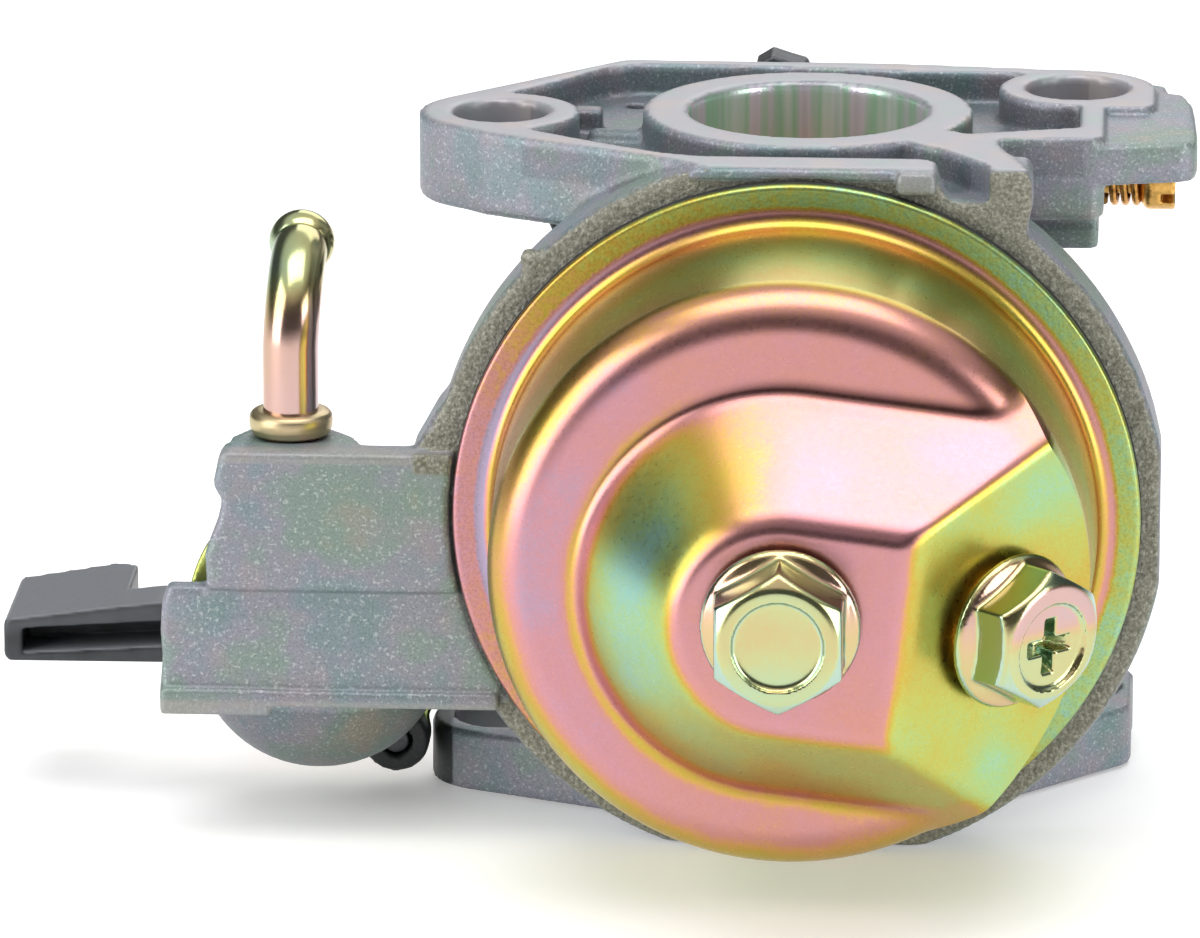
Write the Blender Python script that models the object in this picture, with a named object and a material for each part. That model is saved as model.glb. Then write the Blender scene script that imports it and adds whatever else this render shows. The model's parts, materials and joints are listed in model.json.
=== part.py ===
"""Float-bowl carburetor of a small single-cylinder engine, as separate pieces.

Lengths are in millimetres here and become metres when a mesh is made.
+Z runs along the throttle bore towards the engine, -Y points down to the float bowl,
and the origin is the centre of the bore on the machined engine face.
"""

import math

import bmesh
import bpy
from mathutils import Matrix, Vector

MM = 0.001
GAP = 0.12  # between pieces that touch on the real object
FINE, MEDIUM, COARSE, SMALL = 44, 28, 18, 10  # sides of round shapes

# Bore and flanges
BODY_LENGTH = 68.5
BORE_RADIUS = 11.75
VENTURI_RADIUS = 9.5
CHOKE_BORE_RADIUS = 13.2
MOUTH_RADIUS = 16.0
STUDS = ((-30.3, -2.3), (26.5, 10.9))
STUD_HOLE_RADII = (4.7, 5.1)
BOSS_RADIUS = 7.8
LUG_RADIUS = 8.0
BORE_BOSS_RADIUS = 16.3
ENGINE_FLANGE = 8.4
AIR_FLANGE = 6.2
AIR_MIDDLE_RADIUS, AIR_LOBE_RADIUS = 21.3, 7.0
POCKET_DEPTH = 3.3

# Bowl, on an axis along Y
BOWL_Z = -34.8
RING_RADIUS = 36.0
RING_FLAT = 35.4  # the ring's right side is flattened here
RING_FRONT = -24.7
RING_BACK = -17.0
CEILING = -20.5
CEILING_RADIUS = 29.5
BOWL_RIM_RADIUS = 33.5
CUP_RADIUS = 29.4
SHEET = 1.0  # thickness of the pressed bowl
GASKET = 0.8
CUP_FLOOR = -49.4
CUP_END, CUP_CORNER = 28.8, 4.4  # the wall's radius where it ends, and the rounding from wall to floor
PLATEAU = -62.5
FOOT_RADIUS, PLATEAU_RADIUS = 20.2, 10.4  # of the raised bottom
RAISED_Z = -35.5
BOWL_TURN = math.radians(7.0)  # of the raised bottom and the drain facet, about the bowl's axis
DRAIN_CUT = 73.9  # before it is turned, the drain facet is the plane y = x - DRAIN_CUT
TOWER_RADIUS = 6.0
TOWER_END = -60.9

# Bolts of the bowl
BOLT_FLANGE_RADIUS = 7.6
BOLT_ACROSS_FLATS = 12.0
BOLT_HEAD = 6.4
DRAIN_X, DRAIN_Z = 20.7, -37.5

# Float and needle
HINGE_X, HINGE_Y = -25.0, -27.5
FLOAT_TOP, FLOAT_BOTTOM = -30.0, -41.5
FLOAT_OUTER, FLOAT_INNER = 23.5, 9.5
NEEDLE_X = -18.5

# Shafts across the bore
THROTTLE_Z, CHOKE_Z = -12.0, -54.5
THROTTLE_SHAFT_RADIUS, CHOKE_SHAFT_RADIUS = 3.0, 2.6
THROTTLE_PLATE_RADIUS, CHOKE_PLATE_RADIUS = 11.55, 12.6
THROTTLE_BOSS_END = 27.3
LEVER_BOTTOM, LEVER_TOP = 27.8, 29.6  # the throttle lever clears the stop screw's head
PLATE = 1.0

# Fuel inlet and its valve, on an axis along Y
NIPPLE_X, NIPPLE_Y = -49.8, -19.6
BLOCK_TOP = -28.9
VALVE_X, VALVE_Z = -47.6, -51.7
VALVE_RADIUS = 12.5
VALVE_FACE = -12.6
CAP_RADIUS = 14.1
CAP_FRONT, CAP_BACK = -4.85, -3.75
EAR_RADIUS, EAR_REACH = 3.3, 13.8
EAR_ANGLES = (121.0, -59.5)
EAR_FRONT = -8.0
HUB_RADIUS = 9.8

# Adjusting screws
PILOT_Y, PILOT_Z = 3.0, -7.4
STOP_Y, STOP_Z = 23.2, -24.0

CAST = ((0.50, 0.52, 0.54), 0.45, 0.9)
ZINC = ((0.80, 0.62, 0.42), 0.25, 1.0)
BRASS = ((0.78, 0.57, 0.27), 0.3, 1.0)
STEEL = ((0.62, 0.63, 0.64), 0.3, 1.0)
DARK_STEEL = ((0.16, 0.16, 0.17), 0.45, 0.8)
PLASTIC = ((0.03, 0.03, 0.035), 0.5, 0.0)
RUBBER = ((0.02, 0.02, 0.02), 0.8, 0.0)


# ---- Meshes ------------------------------------------------------------------


def finish_mesh(bm):
    bmesh.ops.recalc_face_normals(bm, faces=bm.faces)
    bmesh.ops.scale(bm, vec=(MM, MM, MM), verts=bm.verts)
    mesh = bpy.data.meshes.new("shape")
    bm.to_mesh(mesh)
    bm.free()
    return mesh


def oriented(start, end):
    """The matrix that takes the Z axis to the line from start to end."""
    direction = Vector(end) - Vector(start)
    turn = Vector((0, 0, 1)).rotation_difference(direction)
    return Matrix.Translation(start) @ turn.to_matrix().to_4x4()


def box(low, high):
    bm = bmesh.new()
    size = [b - a for a, b in zip(low, high)]
    middle = [(a + b) / 2 for a, b in zip(low, high)]
    place = Matrix.Translation(middle) @ Matrix.Diagonal((*size, 1))
    bmesh.ops.create_cube(bm, size=1, matrix=place)
    return finish_mesh(bm)


def lathe(profile, start, end, sides=MEDIUM, closed=False):
    """Turns (radius, height) points about the line from start to end; heights count from start."""
    bm = bmesh.new()
    rings = []
    for radius, height in profile:
        if radius == 0:
            rings.append([bm.verts.new((0, 0, height))])
            continue
        ring = []
        for i in range(sides):
            angle = 2 * math.pi * (i + 0.5) / sides
            ring.append(bm.verts.new((radius * math.cos(angle), radius * math.sin(angle), height)))
        rings.append(ring)
    pairs = list(zip(rings, rings[1:]))
    if closed:
        pairs.append((rings[-1], rings[0]))
    for first, second in pairs:
        for i in range(sides):
            j = (i + 1) % sides
            corners = [first[i % len(first)], first[j % len(first)]]
            corners += [second[j % len(second)], second[i % len(second)]]
            bm.faces.new(list(dict.fromkeys(corners)))
    if not closed:
        for ring in (rings[0], rings[-1]):
            if len(ring) > 1:
                bm.faces.new(ring)
    bm.transform(oriented(start, end))
    return finish_mesh(bm)


def rod(start, end, radius, sides=COARSE):
    length = (Vector(end) - Vector(start)).length
    return lathe([(radius, 0), (radius, length)], start, end, sides)


def washer(start, end, inner, outer, sides=MEDIUM):
    length = (Vector(end) - Vector(start)).length
    return lathe([(inner, 0), (outer, 0), (outer, length), (inner, length)], start, end, sides, closed=True)


def along(axis, low, high):
    """Turns (a, b, depth) into a point, for a prism whose length runs along an axis."""
    place = {
        "X": lambda a, b, d: (d, a, b),
        "Y": lambda a, b, d: (a, d, b),
        "Z": lambda a, b, d: (a, b, d),
    }[axis]
    return lambda point: (place(*point, low), place(*point, high))


def prism(outline, axis, low, high):
    ends = along(axis, low, high)
    bm = bmesh.new()
    pairs = [[bm.verts.new(p) for p in ends(point)] for point in outline]
    bm.faces.new([pair[0] for pair in pairs])
    bm.faces.new([pair[1] for pair in pairs])
    for (a, b), (c, d) in zip(pairs, pairs[1:] + pairs[:1]):
        bm.faces.new((a, c, d, b))
    return finish_mesh(bm)


def arc(centre, radius, first, last, steps):
    """Points on a circle, from one angle to another, in degrees."""
    angles = [math.radians(first + (last - first) * i / steps) for i in range(steps + 1)]
    return [(centre[0] + radius * math.cos(a), centre[1] + radius * math.sin(a)) for a in angles]


def hull(circles, axis, low, high, sides=MEDIUM):
    """The plate stretched round circles given as (centre, radius)."""
    ends = along(axis, low, high)
    bm = bmesh.new()
    for centre, radius in circles:
        for point in arc(centre, radius, 0, 360 * (sides - 1) / sides, sides - 1):
            for corner in ends(point):
                bm.verts.new(corner)
    result = bmesh.ops.convex_hull(bm, input=bm.verts)
    inner = set(result["geom_interior"] + result["geom_unused"])
    bmesh.ops.delete(bm, geom=[v for v in inner if isinstance(v, bmesh.types.BMVert)], context="VERTS")
    bmesh.ops.dissolve_limit(bm, angle_limit=0.001, verts=bm.verts, edges=bm.edges)
    return finish_mesh(bm)


def sweep(path, radii, sides=COARSE):
    """A round bar along a path, with a radius at each point."""
    bm = bmesh.new()
    points = [Vector(p) for p in path]
    side = None
    rings = []
    for i, point in enumerate(points):
        ahead = (points[min(i + 1, len(points) - 1)] - points[max(i - 1, 0)]).normalized()
        if side is None:
            side = ahead.orthogonal().normalized()
        side = (side - ahead * side.dot(ahead)).normalized()
        other = ahead.cross(side)
        ring = []
        for k in range(sides):
            angle = 2 * math.pi * k / sides
            ring.append(bm.verts.new(point + radii[i] * (math.cos(angle) * side + math.sin(angle) * other)))
        rings.append(ring)
    for first, second in zip(rings, rings[1:]):
        for i in range(sides):
            j = (i + 1) % sides
            bm.faces.new((first[i], first[j], second[j], second[i]))
    bm.faces.new(rings[0])
    bm.faces.new(rings[-1])
    return finish_mesh(bm)


def coil(start, end, radius, wire, turns, steps=12):
    """A helical spring whose ends lie at start and end."""
    length = (Vector(end) - Vector(start)).length
    place = oriented(start, end)
    count = int(turns * steps)
    path = []
    for i in range(count + 1):
        angle = 2 * math.pi * i / steps
        height = wire + (length - 2 * wire) * i / count
        path.append(place @ Vector((radius * math.cos(angle), radius * math.sin(angle), height)))
    return sweep(path, [wire] * len(path), 5)


# ---- Objects -----------------------------------------------------------------


def material(name, look):
    colour, roughness, metallic = look
    made = bpy.data.materials.new(name)
    made.use_nodes = True
    shader = made.node_tree.nodes["Principled BSDF"]
    shader.inputs["Base Color"].default_value = (*colour, 1)
    shader.inputs["Roughness"].default_value = roughness
    shader.inputs["Metallic"].default_value = metallic
    return made


def piece(name, mesh, look, pivot=(0, 0, 0)):
    """A named sub-part with its own material, and its origin at pivot."""
    origin = Vector(pivot) * MM
    mesh.transform(Matrix.Translation(-origin))
    mesh.name = name
    mesh.materials.append(material(name, look))
    mesh.shade_smooth()
    mesh.set_sharp_from_angle(angle=math.radians(35))
    made = bpy.data.objects.new(name, mesh)
    made.location = origin
    bpy.context.scene.collection.objects.link(made)
    return made


def combine(target, operation, *meshes):
    """Joins or cuts shapes, kept as hidden wire helpers in a collection of their own."""
    number = len(target.modifiers) + 1
    helpers = bpy.data.collections.new(f"{target.name} {operation.lower()} {number}")
    bpy.context.scene.collection.children.link(helpers)
    for mesh in meshes:
        helper = bpy.data.objects.new(f"{target.name} helper", mesh)
        helper.display_type = "WIRE"
        helper.hide_render = True
        helpers.objects.link(helper)
    modifier = target.modifiers.new(f"{operation.title()} {number}", "BOOLEAN")
    modifier.operation = operation
    modifier.solver = "EXACT"
    modifier.operand_type = "COLLECTION"
    modifier.collection = helpers


def join(target, *meshes):
    combine(target, "UNION", *meshes)


def cut(target, *meshes):
    combine(target, "DIFFERENCE", *meshes)


# ---- Casting -----------------------------------------------------------------


def flange_outline():
    left, right = STUDS
    outline = arc(left, LUG_RADIUS, 232, 138, 8)
    outline += arc((-17.6, 16.9), 4.0, 135, 90, 3)
    outline += [(9.0, 20.4)]
    outline += arc(right, 7.6, 88, 20, 5)
    outline += [(34.3, 11.0), (34.3, 4.4), (33.7, 2.7), (29.4, 2.7)]
    outline += [(29.4, -9.6), (28.5, -10.8), (19.3, -11.4), (19.3, -14.0), (22.4, -24.6)]
    return outline + [(-8.0, -24.6), (-11.0, -22.9), (-26.0, -14.8), (-31.3, -11.9)]


def pocket_outline():
    """The moat round the bore boss, which also runs out to the front between the rim and the leg."""
    back = [(-29.4, 6.1), (-25.5, 10.5), (-22.6, 14.8), (-20.4, 17.6), (-17.5, 18.5)]
    back += [(9.1, 17.3), (19.5, 17.0)]
    right = [(26.9, 15.0), (26.9, -6.0), (21.4, -7.6), (16.0, -9.3), (14.6, -8.0), (8.0, -10.0)]
    leg = [(10.9, -14.2), (15.5, -18.9), (17.9, -22.2), (19.0, -26.5)]
    front = [(13.4, -26.5), (12.9, -23.0), (11.8, -20.2), (-9.7, -20.0), (-13.4, -18.7), (-26.5, -10.2)]
    return back + right + leg + front


def air_flange_outline():
    """A round middle that reaches out to a round left lobe and to a square right corner."""
    left, right = STUDS
    outline = [(32.8, 5.2), (32.2, 3.4), (20.6, -9.0)]
    outline += arc((0, 0), AIR_MIDDLE_RADIUS, -44, -119, 8)
    outline += arc(left, AIR_LOBE_RADIUS, 242, 116, 8)
    outline += arc((0, 0), AIR_MIDDLE_RADIUS - 1.5, 112, 80, 4)
    return outline + arc(right, 8.4, 86, 40, 4) + [(32.8, 15.0)]


def ear_centres():
    angles = [math.radians(a) for a in EAR_ANGLES]
    return [(VALVE_X + EAR_REACH * math.cos(a), VALVE_Z + EAR_REACH * math.sin(a)) for a in angles]


def bowl_ring():
    """The round seat of the float bowl with the roof of the float chamber."""
    centre = (0, RING_BACK, BOWL_Z)
    ring = rod(centre, (0, RING_FRONT, BOWL_Z), RING_RADIUS, FINE)
    leg = [(14.0, -8.0), (14.0, -0.4), (22.4, -0.4), (22.6, -3.5), (21.6, -6.6), (24.5, -12.0)]
    gusset = [(-37.6, BLOCK_TOP - 0.4), (-34.6, -24.2), (-30.0, -24.0), (-30.0, -32.0), (-37.6, -32.0)]
    return [ring, prism(leg, "Y", RING_FRONT, RING_BACK), prism(gusset, "Y", RING_FRONT, RING_BACK)]


def fuel_block():
    """The stepped inlet block left of the ring, with the boss of the fuel nipple."""
    upper = [(-30.0, BLOCK_TOP), (-56.3, BLOCK_TOP), (-56.9, -31.8), (-56.0, -33.7), (-56.5, -35.6)]
    upper += [(-57.8, -39.3), (-57.6, -43.2), (-30.0, -43.2)]
    lower = [(-28.0, -42.8), (-61.8, -42.8), (-62.3, -45.5), (-62.4, -55.7), (-51.2, -55.7), (-50.8, -54.8)]
    lower += [(-28.0, -54.6)]
    boss = ((NIPPLE_X, NIPPLE_Y), 7.0)
    return [
        prism(upper, "Y", -26.0, -16.0),
        prism(lower, "Y", -26.2, VALVE_FACE - 2.0),
        hull([boss, ((NIPPLE_X - 2.0, -22.0), 4.6), ((-45.5, -22.0), 3.4)], "Z", -44.0, BLOCK_TOP, COARSE),
        rod((VALVE_X, -24.0, VALVE_Z), (VALVE_X, VALVE_FACE, VALVE_Z), VALVE_RADIUS, MEDIUM),
    ]


def valve_wall():
    """The wall round the lever's hub, open to the left where the lever swings, with an ear at each end."""
    centre = (VALVE_X, VALVE_Z)
    back = CAP_FRONT - GAP
    wall = arc(centre, VALVE_RADIUS, -66, 122, 12) + arc(centre, HUB_RADIUS + 0.4, 122, -66, 12)
    shapes = [prism(wall, "Y", VALVE_FACE - 1.5, back)]
    for x, z in ear_centres():
        shapes.append(rod((x, EAR_FRONT, z), (x, back, z), EAR_RADIUS))
    return shapes


def hood_and_pilot_boss():
    """The cover over the pilot screw, open below and to the right, and the boss that it screws into."""
    hood = [(18.0, -11.2), (29.4, -10.6), (37.9, -8.6), (38.6, -7.4), (38.6, -3.0), (38.1, 8.5)]
    hood += [(37.2, 12.6), (35.8, 13.2), (35.4, 16.3), (33.0, 17.2), (20.0, 15.0)]
    return [
        prism(hood, "Z", -5.0, -0.9),
        box((36.3, 6.9, -6.5), (38.3, 11.5, -4.0)),
        box((17.0, -8.2, -11.8), (28.8, 5.4, -3.0)),
        box((17.0, -8.7, -11.8), (28.8, 5.4, -9.4)),
    ]


def carburetor_body():
    left, right = STUDS
    air_face = -BODY_LENGTH
    pocket_floor = -POCKET_DEPTH
    body = piece("carburetor_body", prism(flange_outline(), "Z", -ENGINE_FLANGE, 0), CAST)
    barrel = [(15.6, 0), (15.6, 30.0), (17.5, 36.0), (17.5, 62.0), (18.5, BODY_LENGTH - 1)]
    join(
        body,
        lathe(barrel, (0, 0, -1.0), (0, 0, air_face), MEDIUM),
        prism(air_flange_outline(), "Z", air_face, air_face + AIR_FLANGE),
        rod((0, -19.0, THROTTLE_Z), (0, THROTTLE_BOSS_END, THROTTLE_Z), 5.6),
        rod((0, -19.0, CHOKE_Z), (0, 20.0, CHOKE_Z), 5.2),
        rod((-14.5, STOP_Y, STOP_Z), (-5.5, STOP_Y, STOP_Z), 3.6),
        box((-13.5, 10.0, STOP_Z - 2.6), (-6.5, STOP_Y, STOP_Z + 2.6)),
        *bowl_ring(),
        *fuel_block(),
        *valve_wall(),
        *hood_and_pilot_boss(),
    )
    cut(body, prism(pocket_outline(), "Z", pocket_floor, 2.0))
    join(
        body,
        rod((0, 0, pocket_floor - 1), (0, 0, 0), BORE_BOSS_RADIUS, FINE),
        rod((*left, pocket_floor - 1), (*left, 0), BOSS_RADIUS, MEDIUM),
        rod((*right, pocket_floor - 1), (*right, 0), BOSS_RADIUS, MEDIUM),
        box((-23.2, -7.2, pocket_floor - 1), (-20.6, -4.4, -0.9)),
    )
    cut(body, *body_bores(), *trims())
    join(body, *float_chamber())
    cut(body, *chamber_bores())


def trims():
    """What planes both flange faces, clears the pilot screw and the bowl, and flattens the ring's side."""
    far = 60.0
    return [
        box((-far, -far, 0), (far, far, 20.0)),
        box((-far, -far, -BODY_LENGTH - 20.0), (far, far, -BODY_LENGTH)),
        rod((28.8, PILOT_Y, PILOT_Z), (45.0, PILOT_Y, PILOT_Z), 3.7),
        box((RING_FLAT, RING_FRONT - 1, -60.0), (far, RING_BACK + 1, -15.0)),
        rod((0, RING_FRONT, BOWL_Z), (0, -far, BOWL_Z), BOWL_RIM_RADIUS + 0.9, FINE),
    ]


def body_bores():
    """The flow passage, the stud holes and the holes of the shafts, screws and valve."""
    flow = [(BORE_RADIUS + 0.5, -0.01), (BORE_RADIUS, 0.6), (BORE_RADIUS, 24.0), (VENTURI_RADIUS, 31.0)]
    flow += [(VENTURI_RADIUS, 37.0), (CHOKE_BORE_RADIUS, 44.0), (CHOKE_BORE_RADIUS, 62.0)]
    flow += [(MOUTH_RADIUS, BODY_LENGTH + 0.01)]
    cuts = [lathe(flow, (0, 0, 0), (0, 0, -1), FINE)]
    for stud, radius in zip(STUDS, STUD_HOLE_RADII):
        cuts.append(rod((*stud, 5.0), (*stud, -80.0), radius, MEDIUM))
    recess = rod((0, RING_FRONT - 3, BOWL_Z), (0, CEILING, BOWL_Z), CEILING_RADIUS, FINE)
    seat = rod((VALVE_X, VALVE_FACE + 1, VALVE_Z), (VALVE_X, VALVE_FACE - 1.6, VALVE_Z), 9.6)
    cuts += [
        recess,
        seat,
        rod((0, -15.5, THROTTLE_Z), (0, 40.0, THROTTLE_Z), THROTTLE_SHAFT_RADIUS + GAP),
        rod((0, -15.5, CHOKE_Z), (0, 40.0, CHOKE_Z), CHOKE_SHAFT_RADIUS + GAP),
        rod((19.5, PILOT_Y, PILOT_Z), (40.0, PILOT_Y, PILOT_Z), 1.8),
        rod((-30.0, STOP_Y, STOP_Z), (5.0, STOP_Y, STOP_Z), 1.8),
        rod((NIPPLE_X, NIPPLE_Y, -20.0), (NIPPLE_X, NIPPLE_Y, -42.0), 2.7 + GAP),
        rod((-17.4, 12.0, 0.0), (-17.4, 12.0, -6.5), 0.9, SMALL),
    ]
    for x, z in ear_centres():
        cuts.append(rod((x, EAR_FRONT - 1, z), (x, 0.0, z), 1.7, SMALL))
    return cuts


def float_chamber():
    """What hangs from the chamber roof: the tower, two bosses and the posts of the float's hinge."""
    shapes = [
        rod((0, -14.0, BOWL_Z), (0, TOWER_END, BOWL_Z), TOWER_RADIUS, COARSE),
        rod((NEEDLE_X, CEILING + 2, BOWL_Z), (NEEDLE_X, CEILING - 2.2, BOWL_Z), 5.2),
        rod((4.0, CEILING + 2, BOWL_Z + 16), (4.0, CEILING - 5.0, BOWL_Z + 16), 3.4, COARSE),
    ]
    for side in (-1, 1):
        z = BOWL_Z + side * 6.5
        shapes.append(box((HINGE_X - 1.8, HINGE_Y - 1.7, z - 1.0), (HINGE_X + 1.8, CEILING + 2, z + 1.0)))
    return shapes


def chamber_bores():
    return [
        rod((0, -5.0, BOWL_Z), (0, -70.0, BOWL_Z), 2.9),
        rod((0, -48.0, BOWL_Z), (0, -70.0, BOWL_Z), 4.0 + GAP),
        rod((NEEDLE_X, -18.2, BOWL_Z), (NEEDLE_X, -40.0, BOWL_Z), 3.3 + GAP),
        rod((4.0, -19.0, BOWL_Z + 16), (4.0, -40.0, BOWL_Z + 16), 1.9 + GAP),
        rod((HINGE_X, HINGE_Y, BOWL_Z - 12), (HINGE_X, HINGE_Y, BOWL_Z + 12), 0.8 + GAP, SMALL),
    ]


# ---- Bowl --------------------------------------------------------------------


def cup_profile(inset):
    """(radius, depth) points of the cup: outside with its rim at inset 0, inside at inset SHEET."""
    rim = -RING_FRONT + GASKET + 2 * GAP
    corner = CUP_CORNER - inset
    radius = CUP_RADIUS - inset
    end = CUP_END - inset
    depth = -CUP_FLOOR - inset
    if inset:
        profile = [(radius, rim - 2.0)]
    else:
        face = rim + SHEET
        profile = [(BOWL_RIM_RADIUS, rim), (BOWL_RIM_RADIUS, face)]
        profile += [(radius + 1.2, face), (radius + 0.3, face + 0.35), (radius, face + 1.2)]
    for i in range(6):
        angle = math.radians(18 * i)
        drop = corner * (1 - math.cos(angle))
        profile.append((end - drop, depth - corner * (1 - math.sin(angle))))
    return profile + [(0, depth)]


def raised_bottom(inset):
    """The raised bottom: a sloping wall round a plateau, which runs on to the right."""
    slope = math.atan2(-PLATEAU + CUP_FLOOR, FOOT_RADIUS - PLATEAU_RADIUS)
    shift = inset / math.sin(slope) - inset / math.tan(slope)
    floor, top = CUP_FLOOR + 3.0, PLATEAU + inset
    foot = FOOT_RADIUS + 3.0 / math.tan(slope) - inset / math.sin(slope)
    tip = PLATEAU_RADIUS - shift
    bm = bmesh.new()
    for radius, y in ((foot, floor), (tip, top)):
        outline = arc((0, RAISED_Z), radius, 90, 270, 12)
        for x, z in outline + [(30.0, RAISED_Z - radius), (30.0, RAISED_Z + radius)]:
            bm.verts.new((x, y, z))
    bmesh.ops.convex_hull(bm, input=bm.verts)
    bmesh.ops.dissolve_limit(bm, angle_limit=0.001, verts=bm.verts, edges=bm.edges)
    return finish_mesh(bm)


def drain_plane(inset):
    """A block whose face is the drain facet; it removes all that lies beyond."""
    away = DRAIN_CUT - inset * math.sqrt(2)
    far = 60.0
    outline = [(-20.0, -20.0 - away), (far, far - away), (far, -far - away), (-20.0, -far - away)]
    return prism(outline, "Z", BOWL_Z - 40, BOWL_Z + 40)


def hidden(name, mesh):
    helper = bpy.data.objects.new(name, mesh)
    helper.display_type = "WIRE"
    helper.hide_render = True
    bpy.context.scene.collection.objects.link(helper)
    return helper


def combine_with(target, operation, other):
    modifier = target.modifiers.new(other.name, "BOOLEAN")
    modifier.operation = operation
    modifier.solver = "EXACT"
    modifier.object = other


def bowl_turned(mesh):
    """Turns a mesh about the bowl's axis, so that its right side sinks."""
    centre = Vector((0, 0, BOWL_Z * MM))
    turn = Matrix.Rotation(BOWL_TURN, 4, "Y")
    mesh.transform(Matrix.Translation(centre) @ turn @ Matrix.Translation(-centre))
    return mesh


def shape_cup(form, inset):
    """Adds the raised bottom to a turned cup and takes off what lies beyond the drain facet."""
    hump = hidden(f"raised bottom {inset}", bowl_turned(raised_bottom(inset)))
    limit = rod((0, -30, BOWL_Z), (0, -90, BOWL_Z), CUP_END - 0.2 - inset, FINE)
    combine_with(hump, "INTERSECT", hidden(f"cup wall {inset}", limit))
    combine_with(form, "UNION", hump)
    combine_with(form, "DIFFERENCE", hidden(f"drain facet {inset}", bowl_turned(drain_plane(inset))))


def drain_axis():
    """The direction out of the drain facet."""
    return Vector((math.cos(BOWL_TURN), -1, -math.sin(BOWL_TURN))).normalized()


def drain_point(distance):
    """A point on the drain bolt's axis, a distance out from the facet."""
    reach = DRAIN_X * math.cos(BOWL_TURN) - (DRAIN_Z - BOWL_Z) * math.sin(BOWL_TURN)
    return tuple(Vector((DRAIN_X, reach - DRAIN_CUT, DRAIN_Z)) + drain_axis() * distance)


def float_bowl():
    ends = (0, 0, BOWL_Z), (0, -1, BOWL_Z)
    bowl = piece("float_bowl", lathe(cup_profile(0.0), *ends, FINE), ZINC)
    shape_cup(bowl, 0.0)
    inside = hidden("bowl inside", lathe(cup_profile(SHEET), *ends, FINE))
    shape_cup(inside, SHEET)
    combine_with(bowl, "DIFFERENCE", inside)
    cut(
        bowl,
        rod((0, -55.0, BOWL_Z), (0, -70.0, BOWL_Z), 4.6),
        rod(drain_point(-6.0), drain_point(6.0), 3.4),
    )


def flanged_bolt(name, base, tip, head_end, shank_radius, recess):
    """A hexagon bolt with a flange: base is under the flange, tip is the shank's end."""
    base, tip, head_end = Vector(base), Vector(tip), Vector(head_end)
    out = (head_end - base).normalized()
    edge = BOLT_FLANGE_RADIUS
    flange = [(0, 0), (edge, 0), (edge, 0.8), (edge - 0.9, 1.6), (0, 1.6)]
    bolt = piece(name, lathe(flange, base, head_end, MEDIUM), ZINC)
    hexagon = rod(base + out * 1.0, head_end, BOLT_ACROSS_FLATS / math.sqrt(3), 6)
    join(bolt, hexagon, rod(base + out * 0.5, tip, shank_radius))
    chamfer = [(9.0, 0.0), (6.1, 0.0), (7.2, 1.3), (9.0, 1.3)]
    cut(bolt, *recess, lathe(chamfer, head_end + out * 0.01, base, MEDIUM, closed=True))
    return bolt


def bowl_bolts():
    out = PLATEAU - GAP - 0.9
    start = (0, out, BOWL_Z)
    end = (0, out - 0.9 - BOLT_HEAD, BOWL_Z)
    piece("bowl_bolt_washer", washer((0, PLATEAU - GAP, BOWL_Z), (0, out, BOWL_Z), 4.4, 6.6), BRASS)
    recess = washer((0, end[1] + 0.9, BOWL_Z), (0, end[1] - 1, BOWL_Z), 4.0, 4.75)
    flanged_bolt("bowl_bolt", (0, out - GAP, BOWL_Z), (0, -52.0, BOWL_Z), end, 3.8, [recess])

    piece("drain_bolt_washer", washer(drain_point(GAP), drain_point(0.9), 3.6, 6.0), BRASS)
    head = drain_point(7.0)
    out = drain_axis()
    side = Vector((0, 0, 1)).cross(out).normalized()
    up = out.cross(side)
    recess = []
    for across, along_bar in ((side, up), (up, side)):
        bm = bmesh.new()
        turn = Matrix((across, along_bar, out)).transposed().to_4x4()
        place = Matrix.Translation(Vector(head) - out * 0.6) @ turn @ Matrix.Diagonal((1.1, 6.0, 3.6, 1))
        bmesh.ops.create_cube(bm, size=1, matrix=place)
        recess.append(finish_mesh(bm))
    flanged_bolt("drain_bolt", drain_point(0.9 + GAP), drain_point(-3.2), head, 2.9, recess)


def bowl_gasket():
    start, end = RING_FRONT - GAP, RING_FRONT - GAP - GASKET
    piece("bowl_gasket", washer((0, start, BOWL_Z), (0, end, BOWL_Z), 31.0, 33.6, FINE), RUBBER)


# ---- Float chamber pieces ----------------------------------------------------


def jets_and_seat():
    nozzle = [(1.3, 0), (2.7, 0), (2.7, 30.0), (2.1, 30.0), (2.1, 37.0), (1.3, 37.0)]
    ends = (0, -44.0, BOWL_Z), (0, 0, BOWL_Z)
    piece("main_nozzle", lathe(nozzle, *ends, COARSE, closed=True), BRASS)
    piece("main_jet", washer((0, -50.5, BOWL_Z), (0, -44.3, BOWL_Z), 0.6, 2.7, COARSE), BRASS)
    seat = washer((NEEDLE_X, -24.3, BOWL_Z), (NEEDLE_X, -18.7, BOWL_Z), 1.2, 3.3, COARSE)
    piece("needle_seat", seat, BRASS)
    jet = washer((4.0, -27.0, BOWL_Z + 16), (4.0, -19.5, BOWL_Z + 16), 0.5, 1.9, SMALL)
    piece("pilot_jet", jet, BRASS)
    pin = rod((HINGE_X, HINGE_Y, BOWL_Z - 8.0), (HINGE_X, HINGE_Y, BOWL_Z + 8.0), 0.8, SMALL)
    piece("float_pin", pin, STEEL)


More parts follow.
